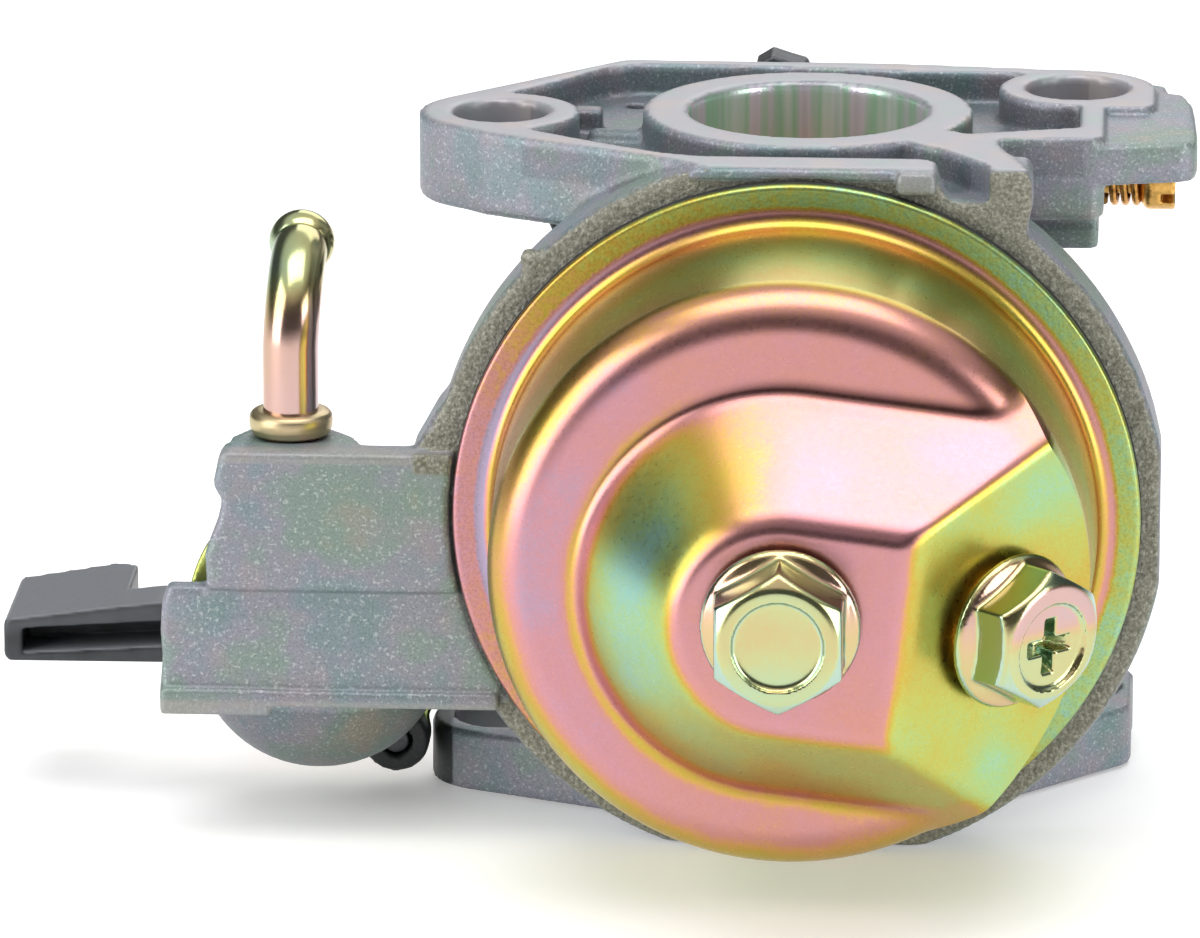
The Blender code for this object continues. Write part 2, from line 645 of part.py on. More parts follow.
def float_and_needle():
    hinge = (HINGE_X, HINGE_Y, BOWL_Z)
    height = FLOAT_TOP - FLOAT_BOTTOM
    profile = [(FLOAT_INNER, 0), (FLOAT_OUTER, 0), (FLOAT_OUTER, height - 2)]
    profile += [(FLOAT_OUTER - 2, height), (FLOAT_INNER, height)]
    ring = lathe(profile, (0, FLOAT_TOP, BOWL_Z), (0, -90, BOWL_Z), MEDIUM, closed=True)
    floats = piece("float", ring, PLASTIC, hinge)
    knuckle = rod((HINGE_X, HINGE_Y, BOWL_Z - 5.0), (HINGE_X, HINGE_Y, BOWL_Z + 5.0), 1.9)
    arm = box((HINGE_X - 1.9, FLOAT_TOP - 1.6, BOWL_Z - 5.0), (-16.0, FLOAT_TOP - 0.02, BOWL_Z + 5.0))
    lug = box((HINGE_X - 1.9, FLOAT_TOP - 1.0, BOWL_Z - 5.0), (HINGE_X + 1.9, HINGE_Y, BOWL_Z + 5.0))
    join(floats, knuckle, lug, arm)
    cut(floats, rod((HINGE_X, HINGE_Y, BOWL_Z - 20), (HINGE_X, HINGE_Y, BOWL_Z + 20), 0.8 + GAP, SMALL))
    needle = [(0, 0), (0.8, 0), (0.8, 1.2), (1.7, 1.4), (1.7, 4.9), (0.5, 6.4), (0, 6.4)]
    start = (NEEDLE_X, FLOAT_TOP + GAP, BOWL_Z)
    piece("float_needle", lathe(needle, start, (NEEDLE_X, 0, BOWL_Z), SMALL), RUBBER, start)


# ---- Shafts, plates and levers -----------------------------------------------


def plate_screw(name, head_top, direction, look=BRASS, pivot=(0, 0, 0), length=5.4):
    """A round-head screw with a slot, from the top of its head along direction."""
    top, down = Vector(head_top), Vector(direction)
    profile = [(0, 0), (1.9, 0), (2.2, 0.5), (2.2, 1.3), (1.3, 1.3), (1.3, length), (0, length)]
    screw = piece(name, lathe(profile, top, top + down, SMALL), look, pivot)
    across = down.orthogonal().normalized()
    other = down.cross(across)
    bm = bmesh.new()
    turn = Matrix((across, other, down)).transposed().to_4x4()
    place = Matrix.Translation(top) @ turn @ Matrix.Diagonal((0.6, 6.0, 1.0, 1))
    bmesh.ops.create_cube(bm, size=1, matrix=place)
    cut(screw, finish_mesh(bm))


def throttle():
    pivot = (0, 0, THROTTLE_Z)
    shaft = rod((0, -15.0, THROTTLE_Z), (0, LEVER_TOP + 0.2, THROTTLE_Z), THROTTLE_SHAFT_RADIUS)
    shaft = piece("throttle_shaft", shaft, STEEL, pivot)
    flat = box((-5, -11.6, THROTTLE_Z - GAP), (5, 11.6, THROTTLE_Z + 5))
    holes = [rod((0, y, THROTTLE_Z + 9), (0, y, THROTTLE_Z - 9), 1.3 + GAP, SMALL) for y in (-5, 5)]
    cut(shaft, flat, *holes)
    disc = rod((0, 0, THROTTLE_Z), (0, 0, THROTTLE_Z + PLATE), THROTTLE_PLATE_RADIUS, FINE)
    disc = piece("throttle_plate", disc, BRASS, pivot)
    cut(disc, *[rod((0, y, THROTTLE_Z + 9), (0, y, THROTTLE_Z - 9), 1.3 + GAP, SMALL) for y in (-5, 5)])
    for number, y in ((1, -5), (2, 5)):
        top = (0, y, THROTTLE_Z + PLATE + GAP + 1.3)
        plate_screw(f"throttle_plate_screw_{number}", top, (0, 0, -1), BRASS, pivot)


def throttle_lever():
    """Arms for the stop screw and the governor link round a hub, and the pointed stop towards the engine."""
    pivot = (0, 0, THROTTLE_Z)
    bottom, top = LEVER_BOTTOM, LEVER_TOP
    hub = hull([((0, THROTTLE_Z), 5.6), ((7.0, STOP_Z + 0.8), 3.0)], "Y", bottom, top, COARSE)
    lever = piece("throttle_lever", hub, DARK_STEEL, pivot)
    point = [(-5.2, THROTTLE_Z + 2), (-6.6, -3.6), (-4.5, -0.6), (-2.2, -2.2), (3.6, THROTTLE_Z + 4.2)]
    arm = hull([((0, THROTTLE_Z), 5.0), ((-24.0, THROTTLE_Z - 6.0), 3.6)], "Y", bottom, top, COARSE)
    fold = box((3.8, 20.6, STOP_Z - 2.4), (5.6, bottom + 1, STOP_Z + 2.6))
    tip = box((-6.0, 25.4, -3.6), (-3.2, 30.0, -0.6))
    join(lever, prism(point, "Y", bottom, top), arm, fold, tip)
    cut(
        lever,
        rod((-24.0, 20, THROTTLE_Z - 6.0), (-24.0, 40, THROTTLE_Z - 6.0), 1.3, SMALL),
        rod((-16.0, 20, THROTTLE_Z - 4.0), (-16.0, 40, THROTTLE_Z - 4.0), 1.0, SMALL),
        rod((0, 20, THROTTLE_Z), (0, 40, THROTTLE_Z), THROTTLE_SHAFT_RADIUS + GAP),
    )
    end = LEVER_TOP + 0.2 + GAP
    screw = [(0, 0), (4.2, 0), (4.2, 0.7), (3.0, 0.9), (3.0, 2.6), (2.5, 3.1), (0, 3.1)]
    piece("throttle_lever_nut", lathe(screw, (0, end, THROTTLE_Z), (0, 90, THROTTLE_Z), 6), STEEL, pivot)


def choke():
    pivot = (0, 0, CHOKE_Z)
    shaft = rod((0, -15.0, CHOKE_Z), (0, 23.4, CHOKE_Z), CHOKE_SHAFT_RADIUS)
    shaft = piece("choke_shaft", shaft, STEEL, pivot)
    flat = box((-GAP, -12.9, CHOKE_Z - 5), (5, 12.9, CHOKE_Z + 5))
    holes = [rod((9, y, CHOKE_Z), (-9, y, CHOKE_Z), 1.3 + GAP, SMALL) for y in (-5, 5)]
    cut(shaft, flat, *holes)
    disc = rod((0, 0, CHOKE_Z), (PLATE, 0, CHOKE_Z), CHOKE_PLATE_RADIUS, FINE)
    disc = piece("choke_plate", disc, BRASS, pivot)
    vent = rod((-3, 0, CHOKE_Z - 7), (3, 0, CHOKE_Z - 7), 1.6, SMALL)
    cut(disc, vent, *[rod((9, y, CHOKE_Z), (-9, y, CHOKE_Z), 1.3 + GAP, SMALL) for y in (-5, 5)])
    for number, y in ((1, -5), (2, 5)):
        top = (PLATE + GAP + 1.3, y, CHOKE_Z)
        plate_screw(f"choke_plate_screw_{number}", top, (-1, 0, 0), BRASS, pivot, 4.8)
    arm = hull([((0, CHOKE_Z), 5.0), ((21.0, CHOKE_Z), 3.6)], "Y", 20.6, 23.0, COARSE)
    lever = piece("choke_lever", arm, PLASTIC, pivot)
    join(lever, rod((21.0, 22.0, CHOKE_Z), (21.0, 27.4, CHOKE_Z), 2.4, COARSE))
    cut(lever, rod((0, 18, CHOKE_Z), (0, 40, CHOKE_Z), CHOKE_SHAFT_RADIUS + GAP))
    cap = [(0, 0), (4.0, 0), (3.4, 1.2), (0, 1.6)]
    piece("choke_lever_cap", lathe(cap, (0, 23.4 + GAP, CHOKE_Z), (0, 90, CHOKE_Z), COARSE), STEEL, pivot)


# ---- Fuel inlet ----------------------------------------------------------------


def fuel_nipple():
    """A bent tube with a collar at its foot and a bead at its open end."""
    radius, bead, bend = 2.75, 3.2, 8.0
    start, turn = -41.5, -20.5
    path = [(NIPPLE_X, NIPPLE_Y, start), (NIPPLE_X, NIPPLE_Y, turn)]
    steps, angle = 7, 82.0
    for i in range(1, steps + 1):
        a = math.radians(angle * i / steps)
        path.append((NIPPLE_X, NIPPLE_Y + bend * (1 - math.cos(a)), turn + bend * math.sin(a)))
    a = math.radians(angle)
    ahead = Vector((0, math.sin(a), math.cos(a)))
    end = Vector(path[-1])
    radii = [radius] * len(path)
    for distance, size in ((1.6, radius), (2.4, bead), (3.6, bead), (4.8, 2.5)):
        path.append(end + ahead * distance)
        radii.append(size)
    nipple = piece("fuel_nipple", sweep(path, radii), ZINC)
    collar = [(0, 0), (3.8, 0), (4.1, 0.5), (4.1, 1.0), (3.8, 1.2)]
    collar += [(4.0, 1.6), (3.9, 2.1), (3.3, 2.5), (0, 2.5)]
    foot = (NIPPLE_X, NIPPLE_Y, BLOCK_TOP + GAP)
    join(nipple, lathe(collar, foot, (NIPPLE_X, NIPPLE_Y, 0), COARSE))
    bore = [(NIPPLE_X, NIPPLE_Y, start - 3)] + path[1:-1] + [end + ahead * 9]
    cut(nipple, sweep(bore, [1.7] * len(bore), SMALL))


def valve_lever():
    """A turned hub between the seal and the cap, with a hollow paddle that reaches out to the left."""
    pivot = (VALVE_X, 0, VALVE_Z)
    front, back = VALVE_FACE + 0.6, -5.6
    hub = rod((VALVE_X, front, VALVE_Z), (VALVE_X, back, VALVE_Z), HUB_RADIUS)
    lever = piece("fuel_valve_lever", hub, PLASTIC, pivot)
    top = [(-56.0, -48.3), (-64.0, -48.4), (-79.1, -50.4), (-79.5, -50.8), (-79.5, -54.2), (-79.0, -54.8)]
    neck = prism(top + [(-56.0, -54.7)], "Y", front, back)
    paddle = prism([(-67.3, -48.8)] + top[2:] + [(-67.3, -54.75)], "Y", front, 1.4)
    join(lever, neck, paddle)
    hollow = [(-66.0, -50.5), (-77.5, -51.4), (-77.5, -53.7), (-66.0, -52.9)]
    slant = [(-67.3, -0.6), (-66.0, 3.0), (-81.0, 3.0), (-79.6, 1.4)]
    cut(lever, prism(hollow, "Y", front - 2, -6.4), prism(slant, "Z", -60, -40))
    for x in (VALVE_X - 3.4, VALVE_X + 3.4):
        cut(lever, rod((x, front - 1, VALVE_Z), (x, front + 2.0, VALVE_Z), 1.4, SMALL))


def valve_seal_and_cap():
    disc = rod((VALVE_X, VALVE_FACE - 1.4, VALVE_Z), (VALVE_X, VALVE_FACE + 0.4, VALVE_Z), 9.2)
    seal = piece("fuel_valve_seal", disc, RUBBER)
    holes = []
    for i in range(4):
        angle = math.radians(90 * i)
        x, z = VALVE_X + 4.6 * math.cos(angle), VALVE_Z + 4.6 * math.sin(angle)
        holes.append(rod((x, -20, z), (x, -5, z), 1.3, SMALL))
    cut(seal, *holes)
    washer_start, washer_end = (VALVE_X, -5.45, VALVE_Z), (VALVE_X, -5.0, VALVE_Z)
    piece("fuel_valve_wave_washer", washer(washer_start, washer_end, 6.4, 9.4), STEEL)
    ears = ear_centres()
    circles = [((VALVE_X, VALVE_Z), 8.0)] + [(ear, EAR_RADIUS) for ear in ears]
    cap = piece("fuel_valve_cap", hull(circles, "Y", CAP_FRONT, CAP_BACK), ZINC)
    join(cap, rod((VALVE_X, CAP_FRONT, VALVE_Z), (VALVE_X, CAP_BACK, VALVE_Z), CAP_RADIUS, FINE))
    raised = [(0, 0), (11.6, 0), (11.2, 1.6), (9.6, 2.4), (0, 2.4)]
    join(cap, lathe(raised, (VALVE_X, -4.4, VALVE_Z), (VALVE_X, 9, VALVE_Z), MEDIUM))
    cut(cap, *[rod((x, -9, z), (x, 2, z), 1.3 + GAP, SMALL) for x, z in ears])
    for number, (x, z) in enumerate(ears, 1):
        top = (x, CAP_BACK + GAP + 1.3, z)
        plate_screw(f"fuel_valve_screw_{number}", top, (0, -1, 0), ZINC, length=5.6)


# ---- Adjusting screws ----------------------------------------------------------


def pilot_screw():
    pivot = (0, PILOT_Y, PILOT_Z)
    profile = [(0, 0), (0.5, 0), (1.5, 3.6), (1.5, 12.0), (1.2, 13.8), (3.0, 14.0), (3.0, 17.0), (0, 17.0)]
    screw = piece("pilot_screw", lathe(profile, (20.0, *pivot[1:]), (90, *pivot[1:]), COARSE), BRASS, pivot)
    cut(screw, box((36.0, PILOT_Y - 4, PILOT_Z - 0.55), (40.0, PILOT_Y + 4, PILOT_Z + 0.55)))
    spring = coil((28.9, *pivot[1:]), (33.9, *pivot[1:]), 2.25, 0.42, 4.0)
    piece("pilot_screw_spring", spring, STEEL)


def idle_stop_screw():
    pivot = (0, STOP_Y, STOP_Z)
    profile = [(0, 0), (4.0, 0), (4.0, 3.0), (1.5, 3.0), (1.5, 23.0), (0.9, 23.4), (0, 23.4)]
    start = (-20.0, *pivot[1:])
    screw = piece("idle_stop_screw", lathe(profile, start, (90, *pivot[1:]), COARSE), PLASTIC, pivot)
    cut(screw, box((-22.0, STOP_Y - 5, STOP_Z - 0.6), (-18.9, STOP_Y + 5, STOP_Z + 0.6)))
    piece("idle_stop_spring", coil((-16.9, *pivot[1:]), (-14.6, *pivot[1:]), 2.4, 0.35, 2.0), STEEL)


def main():
    for leftover in list(bpy.data.objects):
        bpy.data.objects.remove(leftover)
    carburetor_body()
    float_bowl()
    bowl_gasket()
    bowl_bolts()
    jets_and_seat()
    float_and_needle()
    throttle()
    throttle_lever()
    choke()
    fuel_nipple()
    valve_lever()
    valve_seal_and_cap()
    pilot_screw()
    idle_stop_screw()


main()
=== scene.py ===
import json
import math

import bmesh
import bpy
import numpy as np
from mathutils import Matrix, Vector, noise


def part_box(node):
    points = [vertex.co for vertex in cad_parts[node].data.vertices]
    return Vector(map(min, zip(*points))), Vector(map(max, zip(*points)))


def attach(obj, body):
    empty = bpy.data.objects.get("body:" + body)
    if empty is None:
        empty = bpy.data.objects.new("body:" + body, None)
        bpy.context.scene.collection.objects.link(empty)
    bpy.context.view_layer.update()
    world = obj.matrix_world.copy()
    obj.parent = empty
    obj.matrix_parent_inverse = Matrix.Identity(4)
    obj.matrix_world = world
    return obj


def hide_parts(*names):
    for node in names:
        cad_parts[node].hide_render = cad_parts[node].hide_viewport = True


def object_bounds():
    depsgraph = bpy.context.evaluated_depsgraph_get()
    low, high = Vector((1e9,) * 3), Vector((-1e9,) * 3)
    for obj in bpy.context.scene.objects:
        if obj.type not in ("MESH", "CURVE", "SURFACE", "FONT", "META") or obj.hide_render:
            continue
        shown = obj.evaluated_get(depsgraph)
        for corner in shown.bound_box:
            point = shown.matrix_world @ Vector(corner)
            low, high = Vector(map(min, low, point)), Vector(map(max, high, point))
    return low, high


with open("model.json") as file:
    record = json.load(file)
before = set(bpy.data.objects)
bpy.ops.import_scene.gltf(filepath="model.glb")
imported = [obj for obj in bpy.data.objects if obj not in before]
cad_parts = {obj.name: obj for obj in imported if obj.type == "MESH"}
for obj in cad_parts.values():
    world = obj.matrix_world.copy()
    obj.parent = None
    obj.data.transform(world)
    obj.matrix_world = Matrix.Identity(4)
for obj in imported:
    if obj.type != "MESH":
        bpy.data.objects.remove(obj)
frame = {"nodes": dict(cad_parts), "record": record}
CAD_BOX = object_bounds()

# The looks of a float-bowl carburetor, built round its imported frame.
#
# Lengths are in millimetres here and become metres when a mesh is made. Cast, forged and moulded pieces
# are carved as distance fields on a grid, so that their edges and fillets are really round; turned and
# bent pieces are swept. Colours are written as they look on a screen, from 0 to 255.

MM = 0.001


def node_box(node):
    low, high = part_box(node)
    return np.array(low) / MM, np.array(high) / MM


def middle(node):
    low, high = node_box(node)
    return (low + high) / 2


# Places taken from the frame
BOWL_Z = middle("bowl_bolt")[2]
THROTTLE_Z = middle("throttle_shaft")[2]
CHOKE_Z = middle("choke_shaft")[2]
VALVE_X, _, VALVE_Z = middle("fuel_valve_seal")
NIPPLE_X = middle("fuel_nipple")[0]
_, PILOT_Y, PILOT_Z = middle("pilot_screw")
_, STOP_Y, STOP_Z = middle("idle_stop_screw")
BODY_LOW, BODY_HIGH = node_box("carburetor_body")
AIR_FACE = BODY_LOW[2]
RING_FRONT = node_box("bowl_gasket")[1][1] + 0.12
RIM = node_box("bowl_gasket")[0][1] - 0.12
HEAD_END = node_box("bowl_bolt")[0][1]

# Design values shared by several pieces
BORE_RADIUS, VENTURI_RADIUS, CHOKE_BORE_RADIUS, MOUTH_RADIUS = 11.75, 9.5, 13.2, 16.0
STUDS = ((-30.3, -2.3), (26.5, 10.9))
RING_RADIUS, RING_BACK = 36.0, -17.0
CUP_RADIUS, CUP_END, CUP_CORNER, BOWL_RIM_RADIUS, CUP_FLOOR, PLATEAU = 29.4, 28.8, 4.4, 33.5, 49.4, 62.5
RAISED_SHIFT = -0.7
DRAIN_CUT, DRAIN_X, DRAIN_Z = 73.9, 20.7, -37.5
BOWL_TURN = math.radians(-7.0)
VALVE_FACE, VALVE_RADIUS, HUB_RADIUS = -12.6, 12.5, 9.8
EAR_REACH, EAR_RADIUS, EAR_ANGLES = 13.8, 3.3, (121.0, -59.5)
NIPPLE_Y, BLOCK_TOP = -19.6, -28.9
POCKET = -3.3


# ---- Distance fields ---------------------------------------------------------------


class Shape:
    """A distance function, negative inside, and the box that holds the shape."""

    def __init__(self, distance, low, high):
        self.distance = distance
        self.low = np.array(low, float)
        self.high = np.array(high, float)


def soft_min(a, b, fillet):
    """The smaller of two distances, with a fillet where they meet."""
    if not fillet:
        return np.minimum(a, b)
    share = np.clip(0.5 + 0.5 * (b - a) / fillet, 0, 1)
    return b + (a - b) * share - fillet * share * (1 - share)


def corner(a, b, edge):
    """The overlap of two distances, with its edge rounded to a radius."""
    if not edge:
        return np.maximum(a, b)
    a, b = a + edge, b + edge
    outside = np.sqrt(np.maximum(a, 0) ** 2 + np.maximum(b, 0) ** 2)
    return outside + np.minimum(np.maximum(a, b), 0) - edge


def line_measure(start, end):
    """A function for how far points lie off and along a line, and the line's length and axis."""
    a, b = np.array(start, float), np.array(end, float)
    length = np.linalg.norm(b - a)
    axis = (b - a) / length

    def measured(x, y, z):
        x, y, z = x - a[0], y - a[1], z - a[2]
        height = x * axis[0] + y * axis[1] + z * axis[2]
        return np.sqrt(np.maximum(x * x + y * y + z * z - height * height, 0)), height

    return measured, length, axis


def rod(start, end, radius, edge=0.0):
    measured, length, axis = line_measure(start, end)

    def distance(*point):
        across, height = measured(*point)
        return corner(across - radius, np.abs(height - length / 2) - length / 2, edge)

    reach = radius * np.sqrt(np.maximum(1 - axis * axis, 0))
    return Shape(distance, np.minimum(start, end) - reach, np.maximum(start, end) + reach)


def post(x, z, first, last, radius, edge=0.0):
    """A rod along Y."""
    return rod((x, first, z), (x, last, z), radius, edge)


def turned_field(profile, start, end):
    """A lathed shape as a distance field; profile runs from the axis at start to the axis at end."""
    measured, _, axis = line_measure(start, end)
    outline = list(profile) + [(-3.0, profile[-1][1]), (-3.0, profile[0][1])]
    radii, heights = zip(*profile)
    reach = max(radii) * np.sqrt(np.maximum(1 - axis * axis, 0))
    ends = [np.array(start, float) + axis * height for height in (min(heights), max(heights))]

    def distance(*point):
        return polygon_distance(outline, *measured(*point))

    return Shape(distance, np.minimum(*ends) - reach, np.maximum(*ends) + reach)


def offsets(x, y, z, centre, *axes):
    """How far points lie from a centre along each axis."""
    x, y, z = x - centre[0], y - centre[1], z - centre[2]
    return [x * axis[0] + y * axis[1] + z * axis[2] for axis in axes]


def ball(centre, radius):
    c = np.array(centre, float)

    def distance(x, y, z):
        return np.sqrt((x - c[0]) ** 2 + (y - c[1]) ** 2 + (z - c[2]) ** 2) - radius

    return Shape(distance, c - radius, c + radius)


def polygon_distance(outline, u, v):
    """The signed distance of grid points to a closed outline."""
    nearest = np.full(np.broadcast(u, v).shape, 1e9)
    inside = np.zeros(nearest.shape, bool)
    for (au, av), (bu, bv) in zip(outline, outline[1:] + outline[:1]):
        eu, ev = bu - au, bv - av
        if eu == 0 and ev == 0:
            continue
        share = np.clip(((u - au) * eu + (v - av) * ev) / (eu * eu + ev * ev), 0, 1)
        nearest = np.minimum(nearest, (u - au - share * eu) ** 2 + (v - av - share * ev) ** 2)
        if ev != 0:
            crosses = ((av > v) != (bv > v)) & (u < au + (v - av) * eu / ev)
            inside ^= crosses
    return np.where(inside, -1, 1) * np.sqrt(nearest)


ORDER = {"X": (1, 2, 0), "Y": (0, 2, 1), "Z": (0, 1, 2)}  # the outline's two axes, then the length


def extruded(flat, axis, low, high, edge, least, most):
    """A flat distance function given a length along an axis."""
    first, second, third = ORDER[axis]

    def distance(*point):
        along = np.abs(point[third] - (low + high) / 2) - (high - low) / 2
        return corner(flat(point[first], point[second]), along, edge)

    corners = np.zeros((2, 3))
    corners[:, first] = least[0], most[0]
    corners[:, second] = least[1], most[1]
    corners[:, third] = low, high
    return Shape(distance, corners[0], corners[1])


def prism(outline, axis, low, high, edge=0.0):
    points = [tuple(float(value) for value in point) for point in outline]
    least, most = np.min(points, 0), np.max(points, 0)
    return extruded(lambda u, v: polygon_distance(points, u, v), axis, low, high, edge, least, most)


def box(low, high, edge=0.0):
    outline = [(low[0], low[1]), (high[0], low[1]), (high[0], high[1]), (low[0], high[1])]
    return prism(outline, "Z", low[2], high[2], edge)


def strap(first, second, axis, low, high, edge=0.0):
    """The plate stretched round two circles, each given as (centre, radius)."""
    (a, ra), (b, rb) = first, second
    a, b = np.array(a, float), np.array(b, float)
    length = np.linalg.norm(b - a)
    along = (b - a) / length
    slope = (ra - rb) / length
    level = math.sqrt(1 - slope * slope)

    def flat(u, v):
        u, v = u - a[0], v - a[1]
        across, height = np.abs(v * along[0] - u * along[1]), u * along[0] + v * along[1]
        side = height * level - across * slope
        body = across * level + height * slope - ra
        near = np.sqrt(across**2 + height**2) - ra
        far = np.sqrt(across**2 + (height - length) ** 2) - rb
        return np.where(side < 0, near, np.where(side > level * length, far, body))

    least, most = np.minimum(a - ra, b - rb), np.maximum(a + ra, b + rb)
    return extruded(flat, axis, low, high, edge, least, most)


def arc(centre, radius, first, last, steps=24):
    angles = np.radians(np.linspace(first, last, steps + 1))
    return [(centre[0] + radius * math.cos(a), centre[1] + radius * math.sin(a)) for a in angles]


class Carving:
    """A solid made by adding and cutting shapes on a grid."""

    MARGIN = 3.0  # how far around its box a shape is worked out
    FAR = 5.0  # the distance in empty space

    def __init__(self, low, high, pitch):
        self.pitch = pitch
        self.low = np.array(low, float) - 2.37 * pitch
        count = np.ceil((np.array(high, float) + 2.5 * pitch - self.low) / pitch).astype(int) + 1
        self.axes = [self.low[i] + pitch * np.arange(count[i]) for i in range(3)]
        self.field = np.full(count, self.FAR, np.float32)

    def window(self, shape):
        slices = []
        for i, axis in enumerate(self.axes):
            first = np.searchsorted(axis, shape.low[i] - self.MARGIN)
            last = np.searchsorted(axis, shape.high[i] + self.MARGIN)
            slices.append(slice(first, last))
        x, y, z = (axis[s] for axis, s in zip(self.axes, slices))
        return self.field[tuple(slices)], (x[:, None, None], y[None, :, None], z[None, None, :])

    def add(self, *shapes, fillet=0.0):
        for shape in shapes:
            part, point = self.window(shape)
            if part.size:
                part[...] = soft_min(part, shape.distance(*point), fillet)
        return self

    def cut(self, *shapes, fillet=0.0):
        for shape in shapes:
            part, point = self.window(shape)
            if part.size:
                part[...] = -soft_min(-part, shape.distance(*point), fillet)
        return self

    def cells(self):
        """The cells that the surface passes through, and where it passes in each."""
        field = self.field
        inside = field < 0
        total = np.zeros(np.array(field.shape) - 1, np.int8)
        for i, j, k in np.ndindex(2, 2, 2):
            total += inside[i : i + total.shape[0], j : j + total.shape[1], k : k + total.shape[2]]
        crossed = (total > 0) & (total < 8)
        cells = np.argwhere(crossed)
        points, hits = np.zeros((len(cells), 3)), np.zeros(len(cells))
        for axis in range(3):
            step = np.eye(3, dtype=int)[axis]
            for i, j in np.ndindex(2, 2):
                start = np.insert((i, j), axis, 0)
                first = field[tuple((cells + start).T)]
                last = field[tuple((cells + start + step).T)]
                found = (first < 0) != (last < 0)
                share = first[found] / (first[found] - last[found])
                points[found] += start + share[:, None] * step
                hits[found] += 1
        number = np.full(crossed.shape, -1, np.int32)
        number[crossed] = np.arange(len(cells))
        return number, self.low + self.pitch * (cells + points / hits[:, None])

    def surface(self):
        """Vertices in millimetres and four-sided faces that point outwards."""
        number, points = self.cells()
        inside = self.field < 0
        faces = []
        for axis in range(3):
            u, v = (axis + 1) % 3, (axis + 2) % 3
            lower = np.take(inside, range(inside.shape[axis] - 1), axis)
            upper = np.take(inside, range(1, inside.shape[axis]), axis)
            nodes = np.argwhere(lower != upper)
            back = np.zeros((2, 3), int)
            back[0, u], back[1, v] = 1, 1
            corners = [nodes - back[0] - back[1], nodes - back[1], nodes, nodes - back[0]]
            quads = np.stack([number[tuple(c.T)] for c in corners], 1)
            flip = ~lower[tuple(nodes.T)]
            quads[flip] = quads[flip][:, ::-1]
            faces.append(quads)
        return points, np.concatenate(faces)


def mesh_from(points, faces):
    """A mesh from points in millimetres and an array of four-sided faces."""
    mesh = bpy.data.meshes.new("shape")
    mesh.vertices.add(len(points))
    mesh.vertices.foreach_set("co", (np.asarray(points) * MM).astype(np.float32).ravel())
    mesh.loops.add(faces.size)
    mesh.loops.foreach_set("vertex_index", faces.astype(np.int32).ravel())
    mesh.polygons.add(len(faces))
    mesh.polygons.foreach_set("loop_start", np.arange(0, faces.size, 4, dtype=np.int32))
    mesh.update(calc_edges=True)
    mesh.shade_smooth()
    return mesh


def carved(carving):
    return mesh_from(*carving.surface())


def pitch(fine, coarse):
    return fine


# ---- Swept and turned meshes ---------------------------------------------------------


def oriented(start, end):
    """The matrix that takes the Z axis to the line from start to end."""
    turn = Vector((0, 0, 1)).rotation_difference(Vector(end) - Vector(start))
    return Matrix.Translation(start) @ turn.to_matrix().to_4x4()


def eased(profile, radius):
    """A closed profile with its corners cut round."""
    result = []
    count = len(profile)
    for i in range(count):
        before, here, after = (Vector(profile[(i + k) % count]) for k in (-1, 0, 1))
        if here.x == 0:
            result.append(tuple(here))
            continue
        reach = min(radius, (before - here).length * 0.45, (after - here).length * 0.45)
        first = here + (before - here).normalized() * reach
        last = here + (after - here).normalized() * reach
        for share in (0.0, 0.35, 0.65, 1.0):
            result.append(tuple(first * (1 - share) ** 2 + here * 2 * share * (1 - share) + last * share**2))
    return result


def turned(profile, start, end, sides=72, ease=0.2):
    """Turns a closed (radius, height) profile about the line from start to end."""
    profile = eased(profile, ease) if ease else list(profile)
    place = oriented(start, end)
    rings, points = [], []
    for radius, height in profile:
        if radius == 0:
            rings.append([len(points)] * sides)
            points.append(place @ Vector((0, 0, height)))
            continue
        rings.append(list(range(len(points), len(points) + sides)))
        for i in range(sides):
            angle = 2 * math.pi * i / sides
            points.append(place @ Vector((radius * math.cos(angle), radius * math.sin(angle), height)))
    faces = []
    for first, second in zip(rings, rings[1:] + rings[:1]):
        for i in range(sides):
            j = (i + 1) % sides
            face = list(dict.fromkeys((first[i], second[i], second[j], first[j])))
            if len(face) > 2:
                faces.append(face)
    return finished(points, faces)


def finished(points, faces, sharp=38.0):
    mesh = bpy.data.meshes.new("shape")
    mesh.from_pydata([tuple(Vector(p) * MM) for p in points], [], faces)
    mesh.validate()
    outward(mesh)
    mesh.shade_smooth()
    mesh.set_sharp_from_angle(angle=math.radians(sharp))
    return mesh


def outward(mesh):
    """Turns a closed mesh's faces outwards, which its signed volume shows."""
    mesh.calc_loop_triangles()
    points = np.zeros(len(mesh.vertices) * 3)
    mesh.vertices.foreach_get("co", points)
    corners = np.zeros(len(mesh.loop_triangles) * 3, np.int32)
    mesh.loop_triangles.foreach_get("vertices", corners)
    a, b, c = points.reshape(-1, 3)[corners.reshape(-1, 3)].transpose(1, 0, 2)
    if (np.cross(a, b) * c).sum() < 0:
        mesh.flip_normals()


